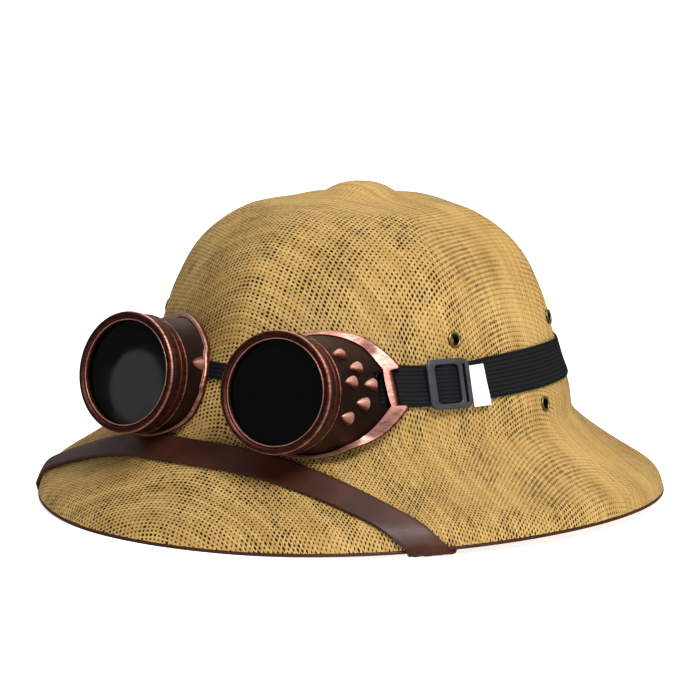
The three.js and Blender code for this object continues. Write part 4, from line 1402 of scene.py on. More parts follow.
@dataclass
class GoggleForm:
    """Sizes of one goggle, and its own axes: h from the nose, v up, a out of the glass."""

    form: HatForm
    side: Side
    spacing: float = 84.0
    front: float = 133.0
    height: float = 71.5
    yaw: float = math.radians(5.5)
    tilt: float = math.radians(10.5)
    ring_radius: float = 28.5
    ring_length: float = 8.0
    window: float = 24.4
    lip: float = 3.2
    ring_wall: float = 2.5
    glass: float = 1.9
    cup_wall: float = 1.9
    collar_length: float = 4.3
    rim_thickness: float = 2.2
    rim_narrow: float = 1.8
    rim_wide: float = 5.8
    rim_clearance: float = 0.6
    tip_reach: float = 38.2
    tip_height: float = 18.8
    tip_rise: float = 8.7
    tip_lean: float = math.radians(21.5)
    arm_bow: float = math.radians(60)
    horn_length: float = 2.6
    horn_height: float = 0.9
    bar_width: float = 2.9
    slot_width: float = 4.8
    slot_mouth: float = 2.5
    post_radius: float = 0.7
    nose_lift: float = 1.8
    nose_aim: float = 5.8
    nose_height: float = 7.5
    chin_thickness: float = 1.6
    elastic: float = 1.0
    collar_step: float = 0.9
    slack: float = 0.1
    fold_room: float = 0.45
    bar_room: float = 0.75
    strap_fade: float = 5.0
    band_fade: float = 3.0
    gap: float = 0.3

    def __post_init__(self) -> None:
        """Sets the axes and the elastic's layers at the tip."""
        s = self.side.value
        sin_yaw, cos_yaw = math.sin(self.yaw), math.cos(self.yaw)
        sin_tilt, cos_tilt = math.sin(self.tilt), math.cos(self.tilt)
        self.centre = np.array([s * self.spacing / 2, -self.front, self.height])
        self.h = np.array([s * cos_yaw, sin_yaw, 0.0])
        self.v = np.array([-s * sin_yaw * sin_tilt, cos_yaw * sin_tilt, cos_tilt])
        self.a = np.array([s * sin_yaw * cos_tilt, -cos_yaw * cos_tilt, sin_tilt])
        self.bar_outside = self.tip_reach - self.horn_length
        self.bar_inside = self.bar_outside - self.bar_width
        self.inner_lift = self.gap + self.elastic / 2 + self.slack
        self.fold_radius = self.post_radius + self.fold_room + self.elastic / 2
        self.post_lift = self.inner_lift + self.fold_radius
        self.outer_lift = self.inner_lift + self.elastic + self.gap
        self.bar_lift = self.post_lift + self.fold_radius + self.elastic / 2 + self.bar_room
        self.collar_radius = self.ring_radius - self.collar_step
        self.collar_back = self.ring_length + self.gap + self.collar_length
        self.wall_radius = self.collar_radius - self.collar_step
        self.cup_front = self.lip + self.glass + 2 * self.gap
        self.spigot = self.ring_radius - self.ring_wall - self.gap
        self.tip_angle = math.atan2(self.tip_rise, self.tip_reach)

    def point(self, h: Array, v: Array, depth: Array) -> Array:
        """Points given in the goggle's own axes, depth behind its face."""
        h, v, depth = np.broadcast_arrays(h, v, depth)
        return self.centre + h[..., None] * self.h + v[..., None] * self.v - depth[..., None] * self.a

    def rim_lift(self, h: Array, v: Array) -> Array:
        """Room left between the rim and the straw.

        Args:
            h: Places away from the nose.
            v: Places up.

        Returns:
            The room.
        """
        half, near = self.ring_radius / 2, self.ring_radius - self.strap_fade
        tip = (self.bar_lift - self.rim_clearance) * smooth_step(half, self.bar_inside - self.slot_width, h)
        nose = (self.nose_lift + self.gap - self.rim_clearance) * smooth_step(half, near, -h)
        chin = (self.chin_thickness + self.gap) * smooth_step(half, near, -v)
        off = np.abs(v - self.nose_aim)
        band = 1 - smooth_step(self.nose_height / 2 + self.band_fade, 1.5 * self.nose_height, off)
        return self.rim_clearance + tip + nose * band + chin

    def seat_depth(self, angle: Array, reach: Array) -> Array:
        """Depth behind the face at which the rim meets the hat.

        Args:
            angle: Directions in the goggle's plane.
            reach: Distances from its axis.

        Returns:
            The depths.
        """
        angle, reach = np.broadcast_arrays(np.asarray(angle, float), np.asarray(reach, float))
        h, v = reach * np.cos(angle), reach * np.sin(angle)
        lift = self.rim_lift(h, v)
        far = np.full(h.shape, self.ring_length)
        open_still = np.ones(h.shape, bool)
        for _ in range(80):
            off = self.form.stand_off(self.point(h, v, far)) - lift
            open_still &= off > 0
            far = np.where(open_still, far + 1, far)
        near = far - 1
        for _ in range(18):
            middle = (near + far) / 2
            off = self.form.stand_off(self.point(h, v, middle)) - lift
            near, far = np.where(off > 0, middle, near), np.where(off > 0, far, middle)
        return near

    def directions(self) -> tuple[Array, Array]:
        """Directions in which the cup is stepped, and how far its rim reaches in each.

        Returns:
            The directions and the reaches.
        """
        corners = []
        for hand in (-1, 1):
            v = self.tip_rise + hand * self.tip_height / 2
            corners.append((self.tip_reach - hand * math.tan(self.tip_lean) * self.tip_height / 2, v))
        (low_h, low_v), (high_h, high_v) = corners
        low, high = math.atan2(low_v, low_h), math.atan2(high_v, high_h)
        radius = self.ring_radius
        low_reach, high_reach = math.hypot(low_h, low_v), math.hypot(high_h, high_v)
        low_start = low - math.acos(radius / low_reach) - self.arm_bow
        high_start = high + math.acos(radius / high_reach) + self.arm_bow
        t = np.linspace(0, 1, 25)
        bar_h, bar_v = mix(low_h, high_h, t), mix(low_v, high_v, t)
        angle = [np.arctan2(bar_v, bar_h)]
        reach = [np.hypot(bar_h, bar_v)]
        arm = np.linspace(high, high_start, 49)[1:]
        angle.append(arm)
        reach.append(self.arc_reach(arm, high_start, high, high_reach))
        ring = np.linspace(high_start, low_start + 2 * math.pi, 66)[1:-1]
        angle.append(ring)
        reach.append(np.full(len(ring), radius))
        arm = np.linspace(low_start, low, 49)[:-1]
        angle.append(arm + 2 * math.pi)
        reach.append(self.arc_reach(arm, low_start, low, low_reach))
        return np.concatenate(angle), np.concatenate(reach)

    def arc_reach(self, angle: Array, start: float, corner: float, corner_reach: float) -> Array:
        """Reach of an arm: an arc that leaves the ring's circle smoothly and ends at a corner.

        Args:
            angle: Directions along the arm.
            start: Direction in which it leaves the circle.
            corner: Direction of the corner.
            corner_reach: Distance of the corner from the axis.

        Returns:
            The reaches.
        """
        radius = self.ring_radius
        back = (corner_reach**2 - radius**2) / (2 * (radius - corner_reach * math.cos(corner - start)))
        along = back * np.cos(angle - start)
        return np.sqrt(along**2 + 2 * back * radius + radius**2) - along

    def rim_width(self, angle: Array) -> Array:
        """Width of the rim in a direction."""
        return mix(self.rim_narrow, self.rim_wide, np.maximum(0, np.cos(angle - self.tip_angle)) ** 2)

    def crown_angle(self, h: float) -> float:
        """Angle round the hat of a point of the tip's plane, on the left side.

        Args:
            h: Place away from the nose.

        Returns:
            The angle.
        """
        reach = math.hypot(h, self.tip_rise)
        angle = math.atan2(self.tip_rise, h)
        p = self.point(h, self.tip_rise, float(self.seat_depth(angle, reach)))
        return abs(math.atan2(p[0], -p[1]))


@dataclass
class Goggle:
    """One goggle: its cup, vents, lens ring and glass.

    The vents are given by their turn from the tip in degrees and their share of the
    way from the collar to the rim.
    """

    shape: GoggleForm
    crease: float = 0.3
    knee: tuple[float, float] = (0.25, 0.55)
    vent_size: float = 6.7
    vent_wrap: float = 0.25
    vent_height: float = 0.8
    vent_sink: float = 0.05
    lens_dome: float = 0.25
    lens_round: float = 0.2
    lens_sides: int = 96
    vents: tuple[tuple[float, float], ...] = (
        (34, 0.24), (4, 0.24), (-30, 0.26), (18, 0.42), (-15, 0.46), (2, 0.64), (148, 0.55),
    )

    def wall_line(self, inner_edge: Array, edge_depth: Array, share: Array) -> tuple[Array, Array]:
        """Radius and depth of the cup's sunk wall.

        Args:
            inner_edge: Reach of the rim's inner edge.
            edge_depth: Depth of the rim there.
            share: Share of the way from the collar to the rim.

        Returns:
            The radius and the depth.
        """
        g = self.shape
        start_r, start_d = g.wall_radius - self.crease, g.collar_back + self.crease
        end_d = edge_depth - g.rim_thickness + self.crease
        knee_r, knee_d = mix(start_r, inner_edge, self.knee[0]), mix(start_d, end_d, self.knee[1])
        r = (1 - share) ** 2 * start_r + 2 * share * (1 - share) * knee_r + share**2 * inner_edge
        d = (1 - share) ** 2 * start_d + 2 * share * (1 - share) * knee_d + share**2 * end_d
        return r, d

    def cup(self) -> bpy.types.Object:
        """Makes the cup with its rim, and cuts the elastic's slot.

        Returns:
            The object.
        """
        g = self.shape
        angle, reach = g.directions()
        inner_edge = reach - g.rim_width(angle)
        mouth = inner_edge - 0.7 * g.cup_wall
        rim, edge, mouth_depth = (g.seat_depth(angle, q) for q in (reach, inner_edge, mouth))
        band = g.ring_length + g.gap
        back = g.collar_back + g.cup_wall
        # Each row holds radius, depth and how rubbed the copper is
        rows: list[tuple[Array | float, Array | float, float]] = [
            (g.window, g.cup_front, 0.0),
            (g.spigot, g.cup_front, 0.0),
            (g.spigot, band, 0.0),
            (g.collar_radius - 0.4, band, 0.35),
            (g.collar_radius, band + 0.4, 0.5),
        ]
        rows += [(g.collar_radius, band + share * g.collar_length, 0.22) for share in (0.2, 0.45, 0.7)]
        rows += [
            (g.collar_radius + 0.05, g.collar_back - 1.0, 0.3),
            (g.collar_radius + 0.35, g.collar_back - 0.7, 0.75),
            (g.collar_radius + 0.35, g.collar_back - 0.3, 0.75),
            (g.collar_radius - 0.1, g.collar_back, 0.3),
        ]
        rows += [(*self.wall_line(inner_edge, edge, share), 0.05) for share in np.linspace(0, 1, 13)]
        top = edge - 1.5 * g.rim_thickness
        width = reach - inner_edge
        low = rim - g.rim_thickness
        rows += [
            (inner_edge + 0.1, top + 0.4, 0.45),
            (inner_edge + 0.35, top, 0.95),
            (inner_edge + 0.35 * width, mix(top, low - 0.5, 0.35), 0.85),
            (inner_edge + 0.7 * width, mix(top, low - 0.5, 0.7), 0.85),
            (reach - 0.45, low - 0.5, 0.95),
            (reach - 0.1, low - 0.2, 0.8),
            (reach, low + 0.2, 0.5),
            (reach, rim - 0.4, 0.35),
            (reach - 0.3, rim - 0.05, 0.1),
            (mouth + 0.2, mouth_depth, 0.0),
            (mouth, mouth_depth - 0.3, 0.0),
            (mix(mouth, g.window, 0.5), mix(mouth_depth, back, 0.5), 0.0),
            (g.window, back, 0.0),
        ]
        points = [g.point(r * np.cos(angle), r * np.sin(angle), d) for r, d, _ in rows]
        wear = np.broadcast_to(np.array([w for _, _, w in rows]), (len(angle), len(rows)))
        cup = loft(f"cup_{g.side.word}", np.stack(points, axis=1), True, wear, None, 35.0)
        open_height = g.tip_height - 2 * g.horn_height
        cut_away(cup, [
            self.tip_cutter(g.bar_inside - g.slot_mouth, g.bar_inside, open_height),
            self.tip_cutter(g.bar_outside, g.tip_reach + g.slot_width, open_height),
        ])
        cup.data.set_sharp_from_angle(angle=math.radians(35))
        return cup

    def tip_cutter(self, start: float, end: float, height: float) -> bpy.types.Object:
        """Block across the tip, leaning with its bar.

        Args:
            start: Where it starts, away from the nose.
            end: Where it ends.
            height: Its height.

        Returns:
            The object.
        """
        g = self.shape
        depth = 2 * g.ring_radius
        draft = Draft()
        middle = g.collar_back + 1.2 * g.ring_radius
        for d in (middle - depth / 2, middle + depth / 2):
            ring = []
            for x, hand in ((start, -1), (end, -1), (end, 1), (start, 1)):
                x0, y0 = x - g.tip_reach, hand * height / 2
                h = x0 * math.cos(g.tip_lean) - y0 * math.sin(g.tip_lean) + g.tip_reach
                v = x0 * math.sin(g.tip_lean) + y0 * math.cos(g.tip_lean) + g.tip_rise
                ring.append(g.point(h, v, d))
            draft.add(np.array(ring))
        draft.faces += [(0, 1, 2, 3), (7, 6, 5, 4)]
        draft.faces += [(j, j + 4, (j + 1) % 4 + 4, (j + 1) % 4) for j in range(4)]
        return draft.build("tip_cutter")

    def vent_model(self) -> bpy.types.Object:
        """One hood, narrow towards the collar and open towards the rim.

        Returns:
            The object.
        """
        size = self.vent_size
        turn = np.linspace(-self.vent_wrap, math.pi + self.vent_wrap, 13)
        # Each row holds the way along the hood, its width and how rubbed it is
        rows = [(0.0, 0.1, 0.3), (0.12, 0.3, 0.7), (0.35, 0.58, 0.9), (0.65, 0.82, 1.0)]
        rows += [(0.85, 0.93, 1.0), (1.0, 1.0, 1.05), (1.0, 0.86, 0.6), (0.7, 0.76, 0.0), (0.25, 0.4, 0.0)]
        # Each hood's upper side and crest are painted brighter, as if lit from above: painted highlight,
        # multiplied into how rubbed each row is
        upwards = -self.shape.side.value * np.cos(turn)
        shine = np.clip(0.65 + 0.55 * upwards + 0.35 * np.sin(turn), 0.0, 1.2)
        draft = Draft()
        for y, grow, wear in rows:
            r = grow * size / 2
            rise = self.vent_height * r * np.sin(turn) - self.vent_sink
            place = np.stack([r * np.cos(turn), np.full(len(turn), (y - 0.5) * size), rise], axis=1)
            draft.add(place, wear * shine)
        count = len(turn)
        draft.grid(0, len(rows), count, False, False)
        start = (len(rows) - 1) * count
        draft.faces.append(tuple(range(count))[::-1])
        draft.faces.append(tuple(range(start, start + count)))
        left = [i * count for i in range(len(rows))]
        right = [i + count - 1 for i in left]
        draft.faces.append(tuple(left + right[::-1]))
        return draft.build("vent_model", 50.0)

    def vent_seats(self) -> list[Matrix]:
        """Seats of the hoods on the cup's wall.

        Returns:
            The seats.
        """
        g = self.shape
        angles, reaches = g.directions()
        seats = []
        for turn, along in self.vents:
            angle = g.tip_angle + math.radians(turn)
            off = np.abs(np.arctan2(np.sin(angles - angle), np.cos(angles - angle)))
            reach = reaches[int(off.argmin())]
            inner_edge = reach - g.rim_width(np.array(angle))
            edge = g.seat_depth(angle, inner_edge)
            share = np.array([along, along + 0.02])
            r, d = self.wall_line(inner_edge, edge, share)
            points = g.point(r * math.cos(angle), r * math.sin(angle), d)
            run = points[1] - points[0]
            run /= np.linalg.norm(run)
            around = -math.sin(angle) * g.h + math.cos(angle) * g.v
            rise = np.cross(around, run)
            outward = math.cos(angle) * g.h + math.sin(angle) * g.v
            if rise @ outward < 0:
                rise = -rise
            across = np.cross(run, rise)
            seats.append(seat_matrix(across, run, rise / np.linalg.norm(rise), points[0]))
        return seats

    def turned(self, name: str, profile: Array, wear: Array, sides: int = 144) -> bpy.types.Object:
        """Lathes a profile of radius and depth round the goggle's axis.

        Args:
            name: Name of the object.
            profile: Rows of radius and depth.
            wear: How worn each row is.
            sides: Steps round.

        Returns:
            The object.
        """
        g = self.shape
        turn = np.linspace(0, 2 * math.pi, sides, endpoint=False)[:, None]
        r, d = profile[None, :, 0], profile[None, :, 1]
        points = g.point(r * np.cos(turn), r * np.sin(turn), np.broadcast_to(d, (sides, len(profile))))
        return loft(name, points, True, wear[None, :], None, 35.0)

    def ring(self) -> bpy.types.Object:
        """Makes the lens ring: a thin inner lip, a flat face, a roll and a grooved band.

        Returns:
            The object.
        """
        g = self.shape
        bore, outer = g.ring_radius - g.ring_wall, g.ring_radius
        roll = 1.35
        turn = np.linspace(math.radians(115), math.radians(-60), 12)
        shine = np.interp(np.linspace(0, 1, 12), [0, 0.25, 0.5, 0.8, 1], [0.1, 0.3, 0.95, 0.45, 0.1])
        # Each row holds radius, depth and how rubbed the copper is
        rows = [
            (g.window, 2.2, 0.2),
            (g.window, 1.1, 0.6),
            (g.window + 0.15, 0.75, 1.15),
            (g.window + 0.45, 0.7, 1.0),
            (g.window + 0.75, 1.05, 0.15),
            (g.window + 1.2, 1.1, 0.3),
            (g.window + 1.7, 0.75, 0.4),
        ]
        for t, wear in zip(turn, shine):
            rows.append((outer - roll + roll * math.cos(t), roll - roll * math.sin(t), wear))
        band = g.collar_radius + 0.3
        rows += [
            (outer - 0.9, g.lip - 0.3, 0.05),
            (band - 0.45, g.lip + 0.1, 0.0),
            (band - 0.45, g.lip + 0.5, 0.0),
            (band - 0.1, g.lip + 0.8, 0.35),
            (band, g.lip + 1.2, 0.25),
            (band, g.lip + 2.4, 0.2),
            (band, g.ring_length - 0.8, 0.25),
            (band - 0.1, g.ring_length - 0.25, 0.5),
            (band - 0.5, g.ring_length, 0.1),
            (bore, g.ring_length, 0.0),
            (bore, g.lip, 0.0),
            (g.window, g.lip, 0.0),
        ]
        data = np.array(rows)
        return self.turned(f"ring_{g.side.word}", data[:, :2], data[:, 2])

    def lens(self) -> bpy.types.Object:
        """Makes the glass, very slightly domed.

        Returns:
            The object.
        """
        g = self.shape
        radius, sides = g.spigot, self.lens_sides
        front = g.lip + g.gap
        back = front + g.glass
        out = np.linspace(0, 1, 14)[1:]
        rows = [(radius * t, front - self.lens_dome * (1 - t * t)) for t in out]
        rows += [(radius, back - self.lens_round), (radius - self.lens_round, back)]
        r, d = np.array(rows).T
        turn = np.linspace(0, 2 * math.pi, sides, endpoint=False)[:, None]
        draft = Draft()
        start = draft.add(g.point(r * np.cos(turn), r * np.sin(turn), d))
        count = len(rows)
        draft.grid(start, sides, count, True, False)
        hub = draft.add(g.point(0.0, 0.0, front - self.lens_dome))
        under = draft.add(g.point(0.0, 0.0, back))
        draft.fan(hub, [start + j * count for j in range(sides)][::-1])
        draft.fan(under, [start + j * count + count - 1 for j in range(sides)])
        return draft.build(f"lens_{g.side.word}_glass", 35.0)


# Straps


@dataclass
class ElasticStrap:
    """Ribbed elastic round the crown, through its slider and round the posts."""

    shape: GoggleForm
    width: float = 18.2
    thickness: float = 1.0
    level: float = 70.0
    front_drop: float = 1.1
    drop_ends: tuple[float, float] = (1.05, 1.35)
    label_drop: float = 2.9
    tail_reach: float = 1.1
    ribs: int = 10
    rib_depth: float = 0.16
    hem: float = 0.93
    hem_thinning: float = 0.55
    label_angle: float = math.radians(68)
    label_width: float = 10.2
    label_thickness: float = 0.5
    slider_angle: float = math.radians(58.0)
    slider_width: float = 22.6
    slider_height: float = 23.6
    slider_thickness: float = 1.8
    slider_bevel: float = 0.45
    slider_corner: float = 3.4
    window_corner: float = 2.4
    slim_corner: float = 0.8
    slider_rail: float = 2.6
    slider_bar: float = 4.0
    slim_bar: float = 2.2
    slim_window: float = 1.4
    peg_thickness: float = 1.1
    nose_level: float = 72.3
    nose_width: float = 7.5
    nose_thickness: float = 1.1
    nose_ribs: int = 4

    def __post_init__(self) -> None:
        """Works out the slider's bars and the strap's layers."""
        g = self.shape
        half = self.slider_width / 2
        self.slim_end = half - self.slim_bar
        self.slim_start = self.slim_end - self.slim_window
        self.wide_start = self.slider_bar - half
        self.wide_end = self.slim_start - self.slim_bar
        self.peg_at = (self.wide_start + self.wide_end) / 2
        self.slider_lift = g.outer_lift + self.thickness / 2 + g.gap
        self.peg_lift = g.inner_lift + self.thickness / 2 + g.gap
        self.over_peg = self.peg_lift + self.peg_thickness + g.gap + self.thickness / 2
        self.bar_angle = g.crown_angle((g.bar_inside + g.bar_outside) / 2)
        self.post_angle = g.crown_angle(g.bar_inside - g.slot_width / 2)
        self.tail_angle = self.label_angle + self.tail_reach * self.label_width / g.form.crown_half_width

    def path(self) -> Array:
        """Middle line of the elastic as rows of angle and lift.

        Returns:
            The rows, once round and back.
        """
        g = self.shape
        round_hat_width = g.form.crown_half_width

        def in_slider(x: float) -> float:
            """Angle of a place along the slider."""
            return self.slider_angle + x / round_hat_width

        half, peg_half = self.slider_width / 2, self.slim_bar / 2 + g.gap
        control = [
            (self.tail_angle, g.outer_lift),
            (in_slider(half), g.outer_lift),
            (in_slider(self.wide_end - 2 * g.gap), g.outer_lift),
            (in_slider(self.peg_at + peg_half), self.over_peg),
            (in_slider(self.peg_at - peg_half), self.over_peg),
            (in_slider(self.wide_start + 2 * g.gap), g.outer_lift),
            (in_slider(-half), g.outer_lift),
            ((self.bar_angle + in_slider(-half)) / 2, g.outer_lift),
            (mix(self.bar_angle, self.post_angle, 0.6), g.post_lift + g.fold_radius),
            (self.post_angle, g.post_lift + g.fold_radius),
        ]
        control = np.array(control)
        steps = np.linspace(control[0, 0], control[-1, 0], 110)
        lifts = np.interp(-steps, -control[:, 0], control[:, 1])
        weights = np.array([1, 2, 3, 2, 1]) / 9
        lifts[2:-2] = np.convolve(lifts, weights, "valid")
        top = np.stack([steps, lifts], axis=1)
        turn = np.linspace(0, math.pi, 17)[1:]
        fold_angle = self.post_angle - np.sin(turn) * g.fold_radius / g.form.crown_half_length
        fold = np.stack([fold_angle, g.post_lift + np.cos(turn) * g.fold_radius], axis=1)
        behind = np.linspace(self.post_angle, math.pi, 150)[1:]
        back = np.stack([behind, np.full(len(behind), g.inner_lift)], axis=1)
        half_path = np.vstack([top, fold, back])
        other = half_path[-2::-1] * np.array([-1.0, 1.0]) + np.array([2 * math.pi, 0.0])
        return np.vstack([half_path, other])

    def level_at(self, theta: Array) -> Array:
        """Height of the strap's middle, a little lower between the cup and the slider."""
        return self.level - self.front_drop * (1 - smooth_step(*self.drop_ends, np.abs(theta)))

    def band(
        self, name: str, path: Array, level: Array | float, width: float, thickness: float, ribs: int
    ) -> bpy.types.Object:
        """Makes a band that stands on the crown along a path, ribbed lengthwise.

        Args:
            name: Name of the object.
            path: Rows of angle and lift.
            level: Height of its middle.
            width: Its width.
            thickness: Its thickness.
            ribs: How many ribs it has, or 0.

        Returns:
            The object.
        """
        count = max(13, 6 * ribs + 1)
        across = np.linspace(-1, 1, count)
        wave = np.abs(np.cos(across * math.pi * ribs / 2)) - 0.5
        swell = self.rib_depth * wave if ribs else np.zeros(count)
        edge = 1 - smooth_step(self.hem, 1.0, np.abs(across)) * self.hem_thinning
        half = thickness / 2 * edge + np.where(edge > 0.9, swell, 0.0)
        angle, lift = path[:, :1], path[:, 1:]
        heights = np.broadcast_to(level, (len(path),))[:, None] + across[None, :] * width / 2
        middle = self.shape.form.on_crown(angle, heights, lift)
        along = np.gradient(middle, axis=0)
        side = np.stack([along[..., 1], -along[..., 0], np.zeros(along.shape[:2])], axis=-1)
        side /= np.linalg.norm(side, axis=-1, keepdims=True)
        front = middle + side * half[None, :, None]
        back = middle - side * half[None, :, None]
        sections = np.concatenate([front, back[:, ::-1]], axis=1)
        steps = np.linalg.norm(np.diff(middle[:, count // 2], axis=0), axis=1)
        run = np.concatenate([[0], np.cumsum(steps)])
        rise = np.concatenate([across, across[::-1]]) * width / 2
        cloth = np.stack(np.broadcast_arrays(run[:, None], rise[None, :]), axis=-1)
        # Rib crests get high point values and grooves low ones: painted sheen and painted shade on the
        # elastic
        tone = 0.5 + np.concatenate([swell, swell[::-1]]) / self.rib_depth
        wear = np.broadcast_to(tone[None, :], (len(path), 2 * count))
        return loft(name, sections, False, wear, cloth, 50.0)

    def strap(self) -> bpy.types.Object:
        """Makes the elastic strap.

        Returns:
            The object.
        """
        path = self.path()
        turn = np.minimum(path[:, 0], 2 * math.pi - path[:, 0])
        return self.band("elastic_ribbed", path, self.level_at(turn), self.width, self.thickness, self.ribs)

    def label(self) -> bpy.types.Object:
        """Makes the bare tape folded over the strap.

        Returns:
            The object.
        """
        g = self.shape
        half = self.label_width / 2 / g.form.crown_half_width
        lift = g.outer_lift + self.thickness / 2 + g.gap + self.label_thickness / 2
        angles = self.label_angle + np.linspace(-half, half, 9)
        path = np.stack([angles, np.full(9, lift)], axis=1)
        return self.band("tape_tag", path, self.level - self.label_drop, self.width, self.label_thickness, 0)

    def nose_band(self) -> bpy.types.Object:
        """Makes the short band between the cups.

        Returns:
            The object.
        """
        g = self.shape
        reach = (g.spacing / 2 - g.ring_radius + g.rim_narrow + g.cup_wall) / g.form.crown_half_length
        angles = np.linspace(-reach, reach, 41)
        lift = g.gap + g.slack + self.nose_thickness / 2
        path = np.stack([angles, np.full(len(angles), lift)], axis=1)
        return self.band(
            "nose_strip", path, self.nose_level, self.nose_width, self.nose_thickness, self.nose_ribs
        )

    def rounded(self, start: float, end: float, tall: float, corner: float) -> list[tuple[float, float]]:
        """Points round an oblong with rounded corners, centred up and down.

        Args:
            start: Its left side.
            end: Its right side.
            tall: Half its height.
            corner: Radius of its corners.

        Returns:
            The points.
        """
        centres = [(end - corner, tall - corner), (start + corner, tall - corner)]
        centres += [(start + corner, corner - tall), (end - corner, corner - tall)]
        points = []
        for quarter, (x, y) in enumerate(centres):
            for step in range(7):
                turn = math.radians(90 * quarter + 15 * step)
                points.append((x + corner * math.cos(turn), y + corner * math.sin(turn)))
        return points

    def slider_frame(self) -> bpy.types.Mesh:
        """Makes the slider's frame: an oblong with a wide and a slim window, edges softened.

        Returns:
            The mesh, in millimetres.
        """
        half, high = self.slider_width / 2, self.slider_height / 2
        open_high = high - self.slider_rail
        soft = self.slider_bevel
        curve = bpy.data.curves.new("slider", "CURVE")
        curve.dimensions, curve.fill_mode = "2D", "BOTH"
        curve.extrude, curve.bevel_depth = self.slider_thickness / 2 - soft, soft
        curve.bevel_resolution = 3
        for start, end, tall, corner in (
            (-half + soft, half - soft, high - soft, self.slider_corner),
            (self.wide_start - soft, self.wide_end + soft, open_high + soft, self.window_corner),
            (self.slim_start - soft, self.slim_end + soft, open_high + soft, self.slim_corner),
        ):
            points = self.rounded(start, end, tall, corner)
            spline = curve.splines.new("POLY")
            spline.points.add(len(points) - 1)
            for item, (x, y) in zip(spline.points, points):
                item.co = (x, y, 0, 1)
            spline.use_cyclic_u = True
        carrier = put_in_scene("slider_curve", curve)
        bpy.context.view_layer.update()
        evaluated = carrier.evaluated_get(bpy.context.evaluated_depsgraph_get())
        mesh = bpy.data.meshes.new_from_object(evaluated)
        bpy.data.objects.remove(carrier)
        return mesh

    def peg_blocks(self) -> list[tuple[tuple[float, ...], tuple[float, ...]]]:
        """Centres and sizes of the slider's lower peg and of its two feet.

        Returns:
            Pairs of centre and size.
        """
        high = self.slider_height / 2
        foot = self.slider_rail
        deep = self.peg_lift - self.slider_lift
        gap = self.shape.gap
        peg = (self.slim_bar, 2 * high - 2 * gap, self.peg_thickness)
        blocks = [((self.peg_at, 0, deep + self.peg_thickness / 2), peg)]
        for hand in (-1, 1):
            middle = hand * (high - foot / 2)
            blocks.append(((self.peg_at, middle, (deep + gap) / 2), (self.slim_bar, foot - 0.5, gap - deep)))
        return blocks

    def slider(self) -> bpy.types.Object:
        """Makes the slider: its frame on the elastic and the peg below.

        Returns:
            The object.
        """
        g = self.shape
        mesh = self.slider_frame()
        work = bmesh.new()
        work.from_mesh(mesh)
        bmesh.ops.remove_doubles(work, verts=work.verts, dist=1e-4)
        bmesh.ops.translate(work, verts=work.verts, vec=(0, 0, self.slider_thickness / 2))
        for centre, size in self.peg_blocks():
            made = bmesh.ops.create_cube(work, size=1.0)["verts"]
            bmesh.ops.scale(work, verts=made, vec=size)
            bmesh.ops.translate(work, verts=made, vec=centre)
        level = self.level - self.front_drop
        along, up, out = g.form.axes(self.slider_angle, level, self.slider_width / 2)
        seat = seat_matrix(along, up, out, g.form.on_crown(self.slider_angle, level, self.slider_lift))
        bmesh.ops.transform(work, matrix=Matrix.Scale(MM, 4) @ seat, verts=work.verts)
        bmesh.ops.recalc_face_normals(work, faces=work.faces)
        work.to_mesh(mesh)
        work.free()
        mesh.shade_smooth()
        mesh.set_sharp_from_angle(angle=math.radians(50))
        return put_in_scene("slide_buckle", mesh)

    def post(self, side: Side) -> bpy.types.Object:
        """Makes the round post in the fold at one cup's tip.

        Args:
            side: Side of the cup.

        Returns:
            The object.
        """
        g = self.shape
        theta = side.value * self.post_angle
        level = self.level - self.front_drop
        ends = [g.form.on_crown(theta, level + hand * self.width / 2, g.post_lift) for hand in (-1, 1)]
        middle = mix((ends[0] + ends[1]) / 2, g.form.on_crown(theta, level, g.post_lift), 0.5)
        axis = (ends[1] - ends[0]) / np.linalg.norm(ends[1] - ends[0])
        half = self.width / 2 + 1
        radius, soft = g.post_radius, 0.2
        end = [[0, half], [radius - soft, half], [radius, half - soft]]
        rows = np.array([[r, -z] for r, z in end] + end[::-1])
        post = lathe(f"post_{side.word}", rows, 24, np.full((1, len(rows)), 0.3))
        across = np.cross(axis, [1.0, 0.0, 0.0])
        across /= np.linalg.norm(across)
        seat = seat_matrix(across, np.cross(axis, across), axis, middle)
        stand(post, seat)
        return post


# Studio


@dataclass(frozen=True)
class Lamp:
    """A soft round lamp: where it stands in degrees, its size in metres and its power."""

    name: str
    azimuth: float
    elevation: float
    size: float
    power: float


